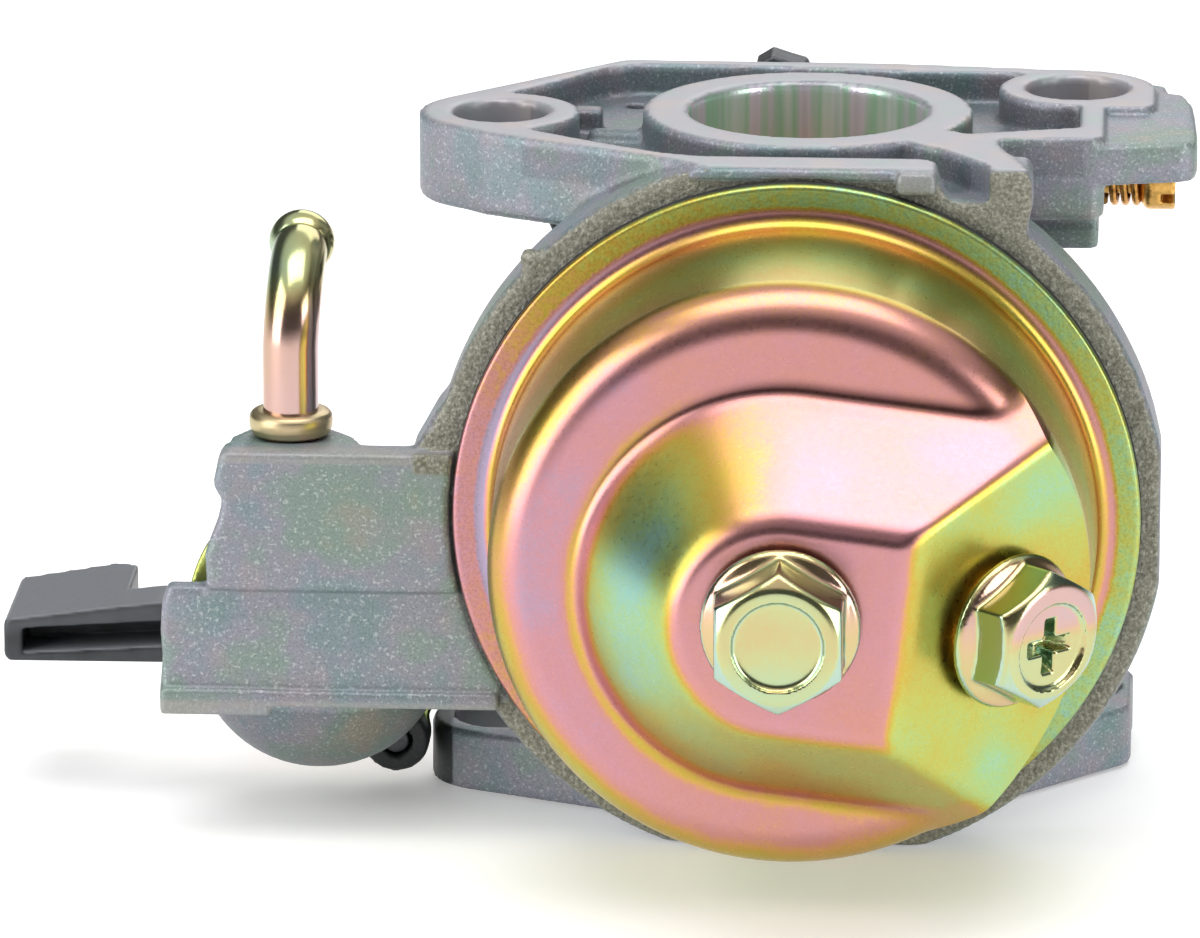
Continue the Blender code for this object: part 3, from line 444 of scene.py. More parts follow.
def swept(path, radii, sides=40):
    """A round bar along a path, with a radius at each point; a radius may follow its own path back inside."""
    points = [Vector(p) for p in path]
    side = None
    made, faces = [], []
    for i, point in enumerate(points):
        ahead = points[min(i + 1, len(points) - 1)] - points[max(i - 1, 0)]
        ahead = ahead.normalized() if ahead.length > 1e-6 else last
        if side is not None and ahead.dot(last) < 0:
            ahead = -ahead
        last = ahead
        side = ahead.orthogonal() if side is None else side - ahead * side.dot(ahead)
        side.normalize()
        other = ahead.cross(side)
        for k in range(sides):
            angle = 2 * math.pi * k / sides
            made.append(point + radii[i] * (math.cos(angle) * side + math.sin(angle) * other))
    for i in range(len(points) - 1):
        for k in range(sides):
            j = (k + 1) % sides
            faces.append((i * sides + k, i * sides + j, (i + 1) * sides + j, (i + 1) * sides + k))
    faces.append(tuple(range(sides)))
    faces.append(tuple(range((len(points) - 1) * sides, len(points) * sides)))
    return finished(made, faces)


def coil(start, end, radius, wire, turns, steps=28):
    length = (Vector(end) - Vector(start)).length
    place = oriented(start, end)
    count = int(turns * steps)
    path = []
    for i in range(count + 1):
        angle = 2 * math.pi * i / steps
        height = wire + (length - 2 * wire) * i / count
        path.append(place @ Vector((radius * math.cos(angle), radius * math.sin(angle), height)))
    return swept(path, [wire] * len(path), 10)


# ---- Materials -----------------------------------------------------------------------


def linear(colour):
    """A screen colour from 0 to 255 as the shader's linear one."""
    values = [value / 255 for value in colour]
    return (*[v / 12.92 if v <= 0.04045 else ((v + 0.055) / 1.055) ** 2.4 for v in values], 1)


class Look:
    """A Principled material and short ways to add the nodes that drive it."""

    def __init__(self, name, roughness=0.4):
        self.material = bpy.data.materials.new(name)
        self.material.use_nodes = True
        self.tree = self.material.node_tree
        self.shader = self.tree.nodes["Principled BSDF"]
        self.shader.inputs["Roughness"].default_value = roughness
        self.place = self.tree.nodes.new("ShaderNodeTexCoord").outputs["Object"]

    def set(self, socket, value):
        """Links or sets a socket; a tuple on a colour socket is a screen colour."""
        if isinstance(value, bpy.types.NodeSocket):
            self.tree.links.new(value, socket)
        elif socket.type != "RGBA":
            socket.default_value = value
        else:
            socket.default_value = linear(value) if isinstance(value, tuple) else (value, value, value, 1)

    def node(self, kind, output, inputs, **settings):
        """The output of a new node, given its settings and its inputs by name or number."""
        made = self.tree.nodes.new("ShaderNode" + kind)
        for key, value in settings.items():
            setattr(made, key, value)
        for key, value in inputs.items():
            self.set(made.inputs[key], value)
        return made.outputs[output]

    def stretched(self, scale):
        """Object coordinates with their own scale along each axis."""
        return self.node("Mapping", "Vector", {"Vector": self.place, "Scale": scale})

    def grain(self, size, detail=2.0, place=None, rough=0.5):
        """Noise whose spots are about size millimetres wide."""
        inputs = {"Vector": place or self.place, "Scale": 1000.0 / size, "Detail": detail, "Roughness": rough}
        return self.node("TexNoise", "Fac", inputs)

    def ramp(self, value, stops):
        """The colour for a value, between stops of (value, screen colour)."""
        made = self.tree.nodes.new("ShaderNodeValToRGB")
        self.tree.links.new(value, made.inputs["Fac"])
        elements = made.color_ramp.elements
        while len(elements) < len(stops):
            elements.new(0.5)
        for element, (at, colour) in zip(elements, stops):
            element.position = at
            element.color = linear(colour)
        return made.outputs["Color"]

    def mix(self, share, first, second, blend="MIX"):
        return self.node("Mix", 2, {0: share, 6: first, 7: second}, data_type="RGBA", blend_type=blend)

    def sum(self, first, second):
        return self.node("Math", 0, {0: first, 1: second}, operation="ADD")

    def product(self, first, second):
        return self.node("Math", 0, {0: first, 1: second}, operation="MULTIPLY")

    def range(self, value, low, high, start=0.0, end=1.0):
        """Takes values from start to end to those from low to high."""
        limits = {"From Min": start, "From Max": end, "To Min": low, "To Max": high}
        return self.node("MapRange", "Result", {"Value": value, **limits})

    def attribute(self, name):
        return self.node("Attribute", "Fac", {}, attribute_name=name)

    def relief(self, height, depth, normal=None):
        """Bump from a height of 0 to 1, with a depth in millimetres."""
        below = {"Normal": normal} if normal else {}
        return self.node("Bump", "Normal", {"Distance": depth * MM, "Height": height, **below})

    def finish(self, *values):
        """Sets the colour, roughness, metallic value and normal, or the first of them."""
        for key, value in zip(("Base Color", "Roughness", "Metallic", "Normal"), values):
            self.set(self.shader.inputs[key], value)
        return self.material


def cast_look():
    """Chromated die casting: clouded grey with lilac, teal and tan, painted glints and sparkles, painted
    reflections in the bore and painted shade where the dark attribute is set; machined and rough places
    differ.
    """
    look = Look("chromated casting")
    clouds = [(0.30, (120, 144, 142)), (0.42, (134, 148, 154)), (0.50, (148, 148, 158))]
    clouds += [(0.56, (138, 151, 148)), (0.64, (134, 152, 142)), (0.74, (158, 152, 138))]
    tint = look.ramp(look.grain(12.0, 3.0, rough=0.6), clouds)
    blush = look.range(look.grain(5.0), 0, 0.5, 0.52, 0.72)
    tint = look.mix(blush, tint, (166, 150, 154))
    # Painted highlight: fine near-white glints stand in for light caught by the metal's grains.
    painted_glint = look.range(look.grain(0.32, 1.0), 0, 0.5, 0.60, 0.70)
    tint = look.mix(look.product(painted_glint, 0.7), tint, (226, 230, 230))
    speck = look.grain(0.24, rough=0.7)
    # The speckle is partly the casting's own grain and partly painted sparkles standing in for glints of
    # light.
    painted_sparkle = look.ramp(speck, [(0.32, (196, 196, 198)), (0.52, (236, 236, 238)), (0.70, (255, 255, 255))])
    tint = look.mix(0.8, tint, painted_sparkle, "MULTIPLY")
    machined, rough, dark = look.attribute("machined"), look.attribute("rough"), look.attribute("dark")
    bright = [(0.35, (154, 162, 162)), (0.5, (160, 159, 166)), (0.65, (167, 160, 160))]
    tint = look.mix(machined, tint, look.ramp(look.grain(6.0), bright))
    bore = look.attribute("bore")
    # Painted reflection: light teal, white and lilac bands drawn out along the bore stand in for what its
    # mirror-like wall reflects.
    painted_bore_reflections = [(0.30, (152, 184, 178)), (0.42, (206, 214, 214)), (0.5, (158, 198, 172))]
    painted_bore_reflections += [(0.58, (208, 200, 214)), (0.7, (176, 174, 184))]
    tint = look.mix(bore, tint, look.ramp(look.grain(3.2, 2.0, look.stretched((1, 1, 0.03))), painted_bore_reflections))
    crust = [(0.3, (104, 103, 94)), (0.5, (132, 131, 119)), (0.7, (172, 171, 160))]
    tint = look.mix(rough, tint, look.ramp(look.grain(0.36, 3.0, rough=0.7), crust))
    # Painted shade: where the dark attribute is set, the casting is darkened towards near black.
    tint = look.mix(look.product(dark, 0.9), tint, (30, 33, 34))
    shine = look.range(speck, 0.36, 0.58)
    shine = look.mix(machined, shine, look.range(speck, 0.34, 0.5))
    shine = look.mix(bore, shine, 0.24)
    shine = look.mix(rough, shine, look.range(speck, 0.5, 0.8))
    fine = look.relief(speck, 0.02)
    wide = look.relief(look.product(look.grain(0.55), rough), 0.25, fine)
    return look.finish(tint, shine, look.range(bore, 0.40, 0.55), wide)


def zinc_look(name="yellow zinc plating", roughness=0.26, pale=0.0):
    """Yellow zinc: an attribute picks an interference colour, partly the chromate layer's own and partly
    painted reflection, which clouds shift a little.
    """
    look = Look(name)
    film, coarse = look.attribute("film"), look.attribute("coarse")
    drift = look.range(look.grain(8.0), -0.07, 0.07, 0.3, 0.7)
    fleck = look.range(look.grain(0.4, rough=0.7), -0.035, 0.035, 0.3, 0.7)
    patches = look.product(look.range(look.grain(0.9, 3.0, rough=0.8), -0.16, 0.16, 0.32, 0.68), coarse)
    value = look.sum(look.sum(film, drift), look.sum(fleck, patches))
    tints = [(0.02, (142, 188, 176)), (0.14, (156, 188, 128)), (0.27, (176, 180, 92))]
    tints += [(0.40, (188, 160, 70)), (0.52, (200, 152, 94)), (0.64, (196, 138, 128))]
    tints += [(0.80, (192, 138, 146)), (0.97, (164, 148, 172))]
    colour = look.mix(pale, look.ramp(value, tints), (200, 196, 178))
    # Painted reflection: the dark attribute draws the dark bands that the bowl's creases reflect.
    colour = look.mix(look.attribute("dark"), colour, (58, 30, 34))
    speckle = look.grain(0.3, rough=0.8)
    shade = look.ramp(speckle, [(0.35, (192, 190, 190)), (0.55, (255, 255, 255))])
    colour = look.mix(look.product(coarse, 0.8), colour, look.mix(1.0, colour, shade, "MULTIPLY"))
    shine = look.range(look.grain(0.5), roughness - 0.04, roughness + 0.06)
    shine = look.sum(shine, look.product(coarse, 0.2))
    fine = look.relief(look.grain(0.3), 0.003)
    orange_peel = look.relief(look.product(look.grain(0.4, 1.0), coarse), 0.04, fine)
    return look.finish(colour, shine, 1.0, orange_peel)


def plain_metal(name, dark, light, roughness, metallic=1.0, grain=0.4, stretch=(1, 1, 1)):
    """Bare metal with fine marks, drawn out where stretch says."""
    look = Look(name)
    marks = look.grain(grain, 3.0, look.stretched(stretch))
    cloud = look.grain(3.0)
    worn = look.range(cloud, 0, 0.6, 0.35, 0.65)
    colour = look.mix(worn, look.ramp(marks, [(0.3, dark), (0.7, light)]), light)
    shine = look.range(marks, roughness - 0.07, roughness + 0.12)
    return look.finish(colour, shine, metallic, look.relief(marks, 0.01))


def plastic_look(name, dark, light, roughness):
    """Moulded plastic or rubber, greyer where its attribute is high, a painted sheen of light on the faces
    that catch it.
    """
    look = Look(name)
    grain = look.grain(0.35)
    colour = look.ramp(look.grain(2.5), [(0.35, dark), (0.65, light)])
    # Painted highlight: the attribute lightens the plastic towards grey where faces catch the light.
    colour = look.mix(look.attribute("film"), colour, (122, 125, 130))
    shine = look.range(grain, roughness - 0.06, roughness + 0.1)
    return look.finish(colour, shine, 0.0, look.relief(grain, 0.012))


CAST = cast_look()
ZINC = zinc_look()
BRIGHT_ZINC = zinc_look("bright yellow zinc plating", 0.17, 0.38)
DULL_ZINC = zinc_look("dull yellow zinc plating", 0.34, 0.5)
BRASS = plain_metal("satin brass", (168, 120, 56), (232, 184, 104), 0.28)
BRONZE = plain_metal("bronze spring wire", (112, 74, 34), (214, 160, 88), 0.24, grain=0.6)
STEEL = plain_metal("bright steel", (150, 152, 154), (204, 206, 208), 0.24, stretch=(1, 0.2, 1))
DARK_STEEL = plain_metal("dark steel", (52, 53, 55), (88, 90, 93), 0.42, 0.85)
PLASTIC = plastic_look("black moulded plastic", (34, 36, 39), (48, 50, 54), 0.36)
RUBBER = plastic_look("black rubber", (18, 20, 20), (34, 37, 37), 0.66)


# ---- Pieces --------------------------------------------------------------------------

BODY_OF = {node: body for body, nodes in frame["record"]["behaviour"]["bodies"].items() for node in nodes}


def values(mesh, kind):
    """The mesh's vertex places in millimetres, or its vertex normals."""
    made = np.zeros(len(mesh.vertices) * 3, np.float32)
    if kind == "normal":
        mesh.vertex_normals.foreach_get("vector", made)
        return made.reshape(-1, 3)
    mesh.vertices.foreach_get("co", made)
    return made.reshape(-1, 3) / MM


def mark(mesh, **amounts):
    """Gives the vertices the named amounts that the materials read, each one number or an array."""
    for name, amount in amounts.items():
        made = mesh.attributes.new(name, "FLOAT", "POINT")
        made.data.foreach_set("value", np.full(len(mesh.vertices), amount, np.float32))
    return mesh


def shown(name, mesh, look, node):
    """A piece that stands for a CAD node, rides on its body and takes its slot."""
    mesh.materials.clear()
    mesh.materials.append(look)
    made = bpy.data.objects.new(name, mesh)
    bpy.context.scene.collection.objects.link(made)
    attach(made, BODY_OF[node])
    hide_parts(node)
    return made


def smooth_step(value, low, high):
    share = np.clip((value - low) / (high - low), 0, 1)
    return share * share * (3 - 2 * share)


def ripple(points, size, seed):
    """Noise from -1 to 1 at each point, with waves of about size millimetres."""
    shift = Vector((seed, seed * 1.7, seed * 2.3))
    return np.array([noise.noise(Vector(p) / size + shift) for p in points])


def moved(mesh, offsets):
    """Moves each vertex along its normal by an offset in millimetres."""
    places = values(mesh, "place") + values(mesh, "normal") * offsets[:, None]
    mesh.vertices.foreach_set("co", (places * MM).astype(np.float32).ravel())
    mesh.update()


# ---- Casting -------------------------------------------------------------------------


def flange_outline():
    left, right = STUDS
    outline = arc(left, 8.0, 232, 138)
    outline += arc((-17.6, 16.9), 4.0, 135, 90)
    outline += [(9.0, 20.5)]
    outline += arc(right, 7.7, 88, 20)
    outline += [(34.3, 11.0), (34.3, 4.6), (33.9, 3.0), (33.3, 2.7), (29.4, 2.7)]
    outline += [(29.4, -9.6), (28.5, -10.8), (19.3, -11.4), (19.3, -14.0), (22.4, -24.6)]
    return outline + [(-8.0, -24.6), (-11.0, -22.9), (-14.8, -20.4), (-26.0, -14.8), (-31.3, -11.9)]


def pocket_outline():
    back = [(-29.4, 6.1), (-25.5, 10.5), (-22.6, 14.8), (-20.6, 17.3)] + arc((-17.3, 15.6), 3.0, 140, 92, 6)
    back += [(-8.0, 18.6), (0.0, 17.9), (9.1, 17.2), (19.5, 17.0)]
    right = [(26.9, 15.0), (26.9, -6.0), (21.4, -7.6), (16.0, -9.3), (14.6, -8.0), (8.0, -10.0)]
    leg = [(10.9, -14.2), (13.4, -16.2), (15.5, -18.9), (17.9, -22.2), (19.0, -26.5)]
    front = [(13.6, -26.5), (13.3, -24.4)]
    front += arc((11.4, -21.9), 1.9, -25, 85, 8)
    front += [(-9.7, -20.0), (-13.4, -18.8), (-17.7, -16.2), (-22.0, -13.3), (-26.5, -10.1)]
    return back + right + leg + front


def scoop_lip():
    """The rounded lip left in front of the pocket where it runs out over the ring."""
    hollow = [(13.2, -0.2), (13.7, -1.5), (14.3, -2.7), (15.3, -3.4), (16.4, -3.6), (17.9, -3.55)]
    return [(19.6, -0.9), (19.6, -7.0), (12.2, -7.0), (12.2, -0.2)] + hollow + [(18.6, -2.9), (18.95, -0.9)]


def air_flange_outline():
    left, right = STUDS
    outline = [(32.8, 5.2), (32.6, 4.3), (32.0, 3.2), (20.6, -9.0)]
    outline += arc((0, 0), 21.3, -44, -119)
    outline += arc(left, 7.0, 242, 116)
    outline += arc((0, 0), 19.8, 112, 80)
    return outline + arc(right, 8.4, 86, 40) + [(32.8, 15.0)]


def ears():
    angles = [math.radians(a) for a in EAR_ANGLES]
    return [(VALVE_X + EAR_REACH * math.cos(a), VALVE_Z + EAR_REACH * math.sin(a)) for a in angles]


def ring_shapes():
    leg = [(14.0, -8.0), (14.0, -0.35), (21.9, -0.35), (22.5, -1.0), (22.7, -3.4), (22.3, -4.6)]
    leg += [(21.6, -6.4), (21.9, -7.8), (24.5, -12.0)]
    gusset = [(-37.7, BLOCK_TOP - 0.6), (-36.6, -27.6), (-35.3, -25.2), (-34.4, -24.2), (-30, -24)]
    gusset += [(-30, -32), (-37.7, -31.5)]
    return [
        post(0, BOWL_Z, RING_BACK, RING_FRONT, RING_RADIUS, 0.7),
        prism(leg, "Y", RING_FRONT, RING_BACK, 0.35),
        prism(gusset, "Y", RING_FRONT + 0.1, RING_BACK, 0.4),
    ]


def block_shapes():
    """The fuel block: an upper part a little proud of a lower bar, the nipple's boss and the valve's dome."""
    upper = [(-30.0, BLOCK_TOP), (-55.9, BLOCK_TOP), (-56.4, -29.6), (-56.9, -32.2), (-56.5, -33.2)]
    upper += [(-56.0, -33.9), (-56.5, -35.8), (-57.8, -39.3), (-57.6, -43.0), (-30.0, -43.0)]
    lower = [(-28.0, -42.9), (-61.6, -42.9), (-62.2, -44.6), (-62.4, -47.4), (-62.2, -50.0), (-62.45, -53.0)]
    lower += [(-62.4, -55.2), (-51.2, -55.2), (-28.0, -54.2)]
    top = [(-55.9, -25.3), (-55.7, -20.3), (-53.8, -16.3), (-50.2, -15.4), (-45.9, -16.7), (-43.6, -19.6)]
    top += [(-42.3, -23.0), (-36.0, -23.0), (-36.0, -25.9), (-55.8, -25.9)]
    dome = [(0, -0.5), (VALVE_RADIUS, -0.5), (VALVE_RADIUS, 1.5)]
    for t in np.radians(np.linspace(8, 90, 14)):
        dome.append((VALVE_RADIUS * math.cos(t), 1.5 + 10.0 * math.sin(t)))
    dome_at = (VALVE_X, VALVE_FACE, VALVE_Z)
    return [
        prism(upper, "Y", -26.4, -22.7, 0.45),
        prism(lower, "Y", -25.4, -22.9, 0.6),
        prism(top, "Z", -42.9, BLOCK_TOP, 0.5),
        box((-56.0, -24.0, -54.0), (-34.0, -17.0, -30.5), 0.5),
        turned_field(dome, dome_at, (VALVE_X, VALVE_FACE - 1, VALVE_Z)),
    ]


def flash_lips():
    """Thin ridges left by the die along the block's edges and over the ring."""
    return [
        box((-56.2, -26.75, -29.9), (-36.4, -25.0, BLOCK_TOP - 0.1), 0.25),
        box((-62.4, -26.2, -55.8), (-51.4, -24.5, -53.2), 0.2),
        box((-51.8, -26.2, -54.9), (-29.0, -24.5, -53.3), 0.2),
        box((9.5, -26.2, -2.4), (13.3, -24.0, -0.25), 0.3),
        box((-10.6, -25.3, -1.2), (9.6, -24.0, -0.3), 0.2),
        ball((-26.0, -23.9, BOWL_Z + 25.2), 1.0),
    ]


def valve_wall_shapes():
    centre = (VALVE_X, VALVE_Z)
    back = -4.97
    wall = arc(centre, VALVE_RADIUS, -66, 122) + arc(centre, HUB_RADIUS + 0.4, 122, -66)
    shapes = [prism(wall, "Y", VALVE_FACE - 1.5, back, 0.2)]
    return shapes + [post(x, z, -8.0, back, EAR_RADIUS, 0.4) for x, z in ears()]


def hood_shapes():
    hood = [(18.0, -11.2), (29.4, -10.7), (36.9, -8.9), (38.1, -8.2), (38.5, -7.0), (38.5, -3.0), (38.1, 8.5)]
    hood += [(37.2, 12.6), (35.8, 13.2), (35.4, 16.3), (33.0, 17.2), (20.0, 15.0)]
    return [
        prism(hood, "Z", -5.0, -0.9, 0.8),
        box((36.3, 6.9, -6.5), (38.3, 11.5, -4.0), 0.4),
        box((17.0, -8.2, -11.8), (28.8, 5.4, -3.0), 0.6),
        box((17.0, -8.7, -11.8), (28.8, 5.4, -9.5), 0.6),
    ]


def passages():
    """Everything bored into the casting."""
    flow = [(0, 1.0), (BORE_RADIUS + 0.4, 1.0), (BORE_RADIUS + 0.4, 0), (BORE_RADIUS, -0.4)]
    flow += [(BORE_RADIUS, -24), (VENTURI_RADIUS, -31), (VENTURI_RADIUS, -37)]
    flow += [(CHOKE_BORE_RADIUS, -44), (CHOKE_BORE_RADIUS, -62)]
    flow += [(MOUTH_RADIUS, AIR_FACE), (MOUTH_RADIUS, AIR_FACE - 1), (0, AIR_FACE - 1)]
    cuts = [turned_field(flow, (0, 0, 0), (0, 0, 1))]
    for (x, y), radius in zip(STUDS, (4.7, 5.1)):
        cuts.append(rod((x, y, 5.0), (x, y, -80.0), radius))
    cuts += [
        post(0, BOWL_Z, RING_FRONT - 3, -20.5, 29.5),
        post(0, BOWL_Z, RING_FRONT, -60.0, 33.85),
        post(VALVE_X, VALVE_Z, VALVE_FACE + 1, VALVE_FACE - 1.6, 9.6),
        post(0, THROTTLE_Z, -15.5, 40.0, 3.12),
        post(0, CHOKE_Z, -15.5, 40.0, 2.72),
        rod((19.5, PILOT_Y, PILOT_Z), (28.9, PILOT_Y, PILOT_Z), 1.8),
        rod((28.8, PILOT_Y, PILOT_Z), (45.0, PILOT_Y, PILOT_Z), 3.7),
        rod((-30.0, STOP_Y, STOP_Z), (5.0, STOP_Y, STOP_Z), 1.8),
        rod((NIPPLE_X, NIPPLE_Y, -20.0), (NIPPLE_X, NIPPLE_Y, -42.0), 2.82),
        rod((-17.6, 14.2, 0.0), (-17.6, 14.2, -6.5), 1.15),
        box((35.4, RING_FRONT - 1, -60.0), (60.0, RING_BACK + 1, -15.0)),
    ]
    return cuts + [post(x, z, -9.0, 0.0, 1.6) for x, z in ears()]


def chamber_shapes():
    """The tower, bosses and hinge posts inside the float chamber."""
    shapes = [
        post(0, BOWL_Z, -14.0, -60.9, 6.0, 0.3),
        post(-18.5, BOWL_Z, -18.5, -22.7, 5.2, 0.3),
        post(4.0, BOWL_Z + 16, -18.5, -25.5, 3.4, 0.3),
    ]
    for side in (-1, 1):
        z = BOWL_Z + side * 6.5
        shapes.append(box((-26.8, -29.2, z - 1.0), (-23.2, -18.5, z + 1.0), 0.3))
    return shapes


def chamber_bores():
    return [
        post(0, BOWL_Z, -5.0, -70.0, 2.9),
        post(0, BOWL_Z, -48.0, -70.0, 4.12),
        post(-18.5, BOWL_Z, -18.2, -40.0, 3.42),
        post(4.0, BOWL_Z + 16, -19.0, -40.0, 2.02),
        rod((-25.0, -27.5, BOWL_Z - 12), (-25.0, -27.5, BOWL_Z + 12), 0.92),
    ]


def casting_carving():
    left, right = STUDS
    carving = Carving(BODY_LOW, BODY_HIGH, pitch(0.45, 0.9))
    barrel = [(0, 0.5), (15.6, 0.5), (15.6, -31), (17.5, -37), (17.5, -63)]
    barrel += [(18.5, AIR_FACE + 1), (0, AIR_FACE + 1)]
    carving.add(prism(flange_outline(), "Z", -8.4, 2.0, 0.6))
    carving.add(*ring_shapes(), *hood_shapes(), fillet=0.45)
    carving.add(
        turned_field(barrel, (0, 0, 0), (0, 0, 1)),
        prism(air_flange_outline(), "Z", AIR_FACE - 1, AIR_FACE + 6.2, 0.5),
        post(0, THROTTLE_Z, -19.0, 27.3, 5.6, 0.4),
        post(0, CHOKE_Z, -19.0, 20.0, 5.2, 0.4),
        rod((-14.5, STOP_Y, STOP_Z), (-5.5, STOP_Y, STOP_Z), 3.6, 0.4),
        box((-13.5, 10.0, STOP_Z - 2.6), (-6.5, STOP_Y, STOP_Z + 2.6), 0.8),
        fillet=1.0,
    )
    carving.add(*block_shapes(), fillet=0.5)
    carving.add(*valve_wall_shapes(), fillet=0.3)
    carving.cut(prism(pocket_outline(), "Z", POCKET, 4.0, 0.5), fillet=0.25)
    carving.add(prism(scoop_lip(), "Y", RING_FRONT, -21.5, 0.3), fillet=0.4)
    carving.add(
        rod((0, 0, POCKET - 1), (0, 0, 2.0), 16.3),
        rod((*left, POCKET - 1), (*left, 2.0), 7.8),
        rod((*right, POCKET - 1), (*right, 2.0), 7.8),
        box((-23.6, 1.8, POCKET - 1), (-20.5, 4.4, -0.9), 0.5),
        rod((-21.6, -0.6, POCKET + 0.1), (-15.9, -1.6, POCKET + 0.2), 1.1, 0.5),
        fillet=0.35,
    )
    carving.add(*flash_lips(), fillet=0.25)
    carving.cut(box((-90, -90, 0), (90, 90, 20)), box((-90, -90, AIR_FACE - 20), (90, 90, AIR_FACE)))
    carving.cut(*passages())
    carving.add(*chamber_shapes(), fillet=0.3)
    return carving.cut(*chamber_bores())


def casting():
    mesh = carved(casting_carving())
    places, normals = values(mesh, "place"), values(mesh, "normal")
    x, y, z = places.T
    from_bore = np.hypot(x, y)
    from_bowl = np.hypot(x, z - BOWL_Z)
    faces = (z > -0.12) | (z < AIR_FACE + 0.12)
    bores = (from_bore < BORE_RADIUS + 0.3) & (z > -24.5)
    for stud in STUDS:
        bores |= np.hypot(x - stud[0], y - stud[1]) < 5.3
    machined = (faces | bores).astype(float)
    bore = ((from_bore < BORE_RADIUS + 0.25) & (z > -24.5) & (z < -0.35)).astype(float)
    front = (np.abs(y - RING_FRONT) < 0.3) & (from_bowl > 33.0) & (x > -37.0) & (np.abs(normals[:, 1]) > 0.5)
    lips = (y < -24.6) & (x < -28) & ((z > -30.0) | (z < -54.1))
    lips |= (x > 9.4) & (x < 13.4) & (y < -24.9) & (z > -3)
    nub = np.linalg.norm(places - (-26.0, -23.9, BOWL_Z + 25.2), axis=1) < 1.6
    front |= (y < -25.8) & (x > -37.2) & (x < -30.0) & (z > -31.0)
    rough = np.where(front | nub, 1.0, np.where(lips, 0.3, 0.0))
    machined = np.where(lips, 0.55, machined)
    # Painted shade: the pocket floor, the ear and post in shade behind the dome, the dome's underside and the
    # bore's lower part from the venturi down are marked dark.
    pocket = (z < -0.6) & (z > POCKET - 0.6) & (from_bore > 16.0) & (y > -20.5) & (np.abs(x) < 27.5)
    dark = np.where(pocket, 0.28, 0.0)
    shade = (x < -35) & (x > -46) & (z < -55.5) & (y > VALVE_FACE - 1.0)
    dome = (x < -34) & (z < -56.2) & (y > -26) & (y <= VALVE_FACE - 1.0)
    dark = np.where(shade, 1.0, np.where(dome, 0.34, dark))
    dark = np.where((from_bore < 14.5) & (z < -26), 0.25, dark)
    mark(mesh, machined=machined, bore=bore, rough=rough, dark=dark)
    waves = 0.035 * ripple(places, 3.5, 3.1) + 0.12 * rough * ripple(places, 0.9, 9.2)
    moved(mesh, np.where(machined > 0, 0.0, waves))
    shown("casting", mesh, CAST, "carburetor_body")


# ---- Bowl ----------------------------------------------------------------------------


def film_of(normals, plain=0.84):
    """Painted reflection on the plating: a value highest on faces that look forward or up and lower on those
    facing aside or down, tinting each face by the way it turns.
    """
    nx, _, nz = normals.T
    aside = np.clip(-nx, 0, 1) * 0.62 + np.clip(nx, 0, 1) * 0.5 + np.clip(-nz, 0, 1) * 0.6
    return plain - aside


def cup_line():
    """(radius, depth, zone) along the cup's outside, from rim to middle; zone 0 is the rim, 1 the cup."""
    face = -RIM + 1.0
    line = [(BOWL_RIM_RADIUS, face - 0.9, 0), (BOWL_RIM_RADIUS, face - 0.3, 0)]
    line.append((BOWL_RIM_RADIUS - 0.25, face, 0))
    line += [(r, face, 0) for r in np.linspace(BOWL_RIM_RADIUS - 0.6, CUP_RADIUS + 1.5, 7)]
    for a in np.radians(np.linspace(12, 90, 7)):
        line.append((CUP_RADIUS + 1.5 - 1.5 * math.sin(a), face + 1.5 - 1.5 * math.cos(a), 0.5))
    top, inner = CUP_FLOOR - CUP_CORNER, CUP_END - CUP_CORNER
    for share in np.linspace(0.05, 1, 18):
        line.append((CUP_RADIUS + (CUP_END - CUP_RADIUS) * share, face + 1.5 + (top - face - 1.5) * share, 1))
    for a in np.radians(np.linspace(4, 90, 22)):
        line.append((inner + CUP_CORNER * math.cos(a), top + CUP_CORNER * math.sin(a), 1))
    return line + [(r, CUP_FLOOR, 1) for r in np.linspace(inner - 0.35, 4.6, 64)]


def bowl_depth(x, z, depth):
    """The depth of the pressed cup with its raised bottom and its slanted drain facet."""
    u, v = bowl_axes(x, z)
    v = v - RAISED_SHIFT
    radius = np.where(u < 0, np.hypot(u, v), np.abs(v))
    foot = 20.2 - 0.7 * np.clip(v / (radius + 1e-6), 0, 1) ** 2
    slope = CUP_FLOOR + (foot - radius) * (PLATEAU - CUP_FLOOR) / (foot - 10.4)
    hump = soft_min(slope, np.full_like(depth, PLATEAU), 1.9)
    raised = -soft_min(-depth, -np.maximum(hump, CUP_FLOOR - 6.0), 0.9)
    return soft_min(np.where(depth > CUP_FLOOR - 4.3, raised, depth), DRAIN_CUT - u, 1.6)


def bowl_axes(x, z):
    """Places along and across the bowl's raised part, which is turned a little about the bowl's axis."""
    w, cosine, sine = z - BOWL_Z, math.cos(BOWL_TURN), math.sin(BOWL_TURN)
    return x * cosine + w * sine, w * cosine - x * sine


def blended(start, *layers):
    """Lays each (weight, value) over what is there."""
    for weight, value in layers:
        start = start * (1 - weight) + value * weight
    return start


def spot(x, z, centre, size):
    return np.exp(-((x - centre[0]) ** 2 + (z - centre[1]) ** 2) / size**2)


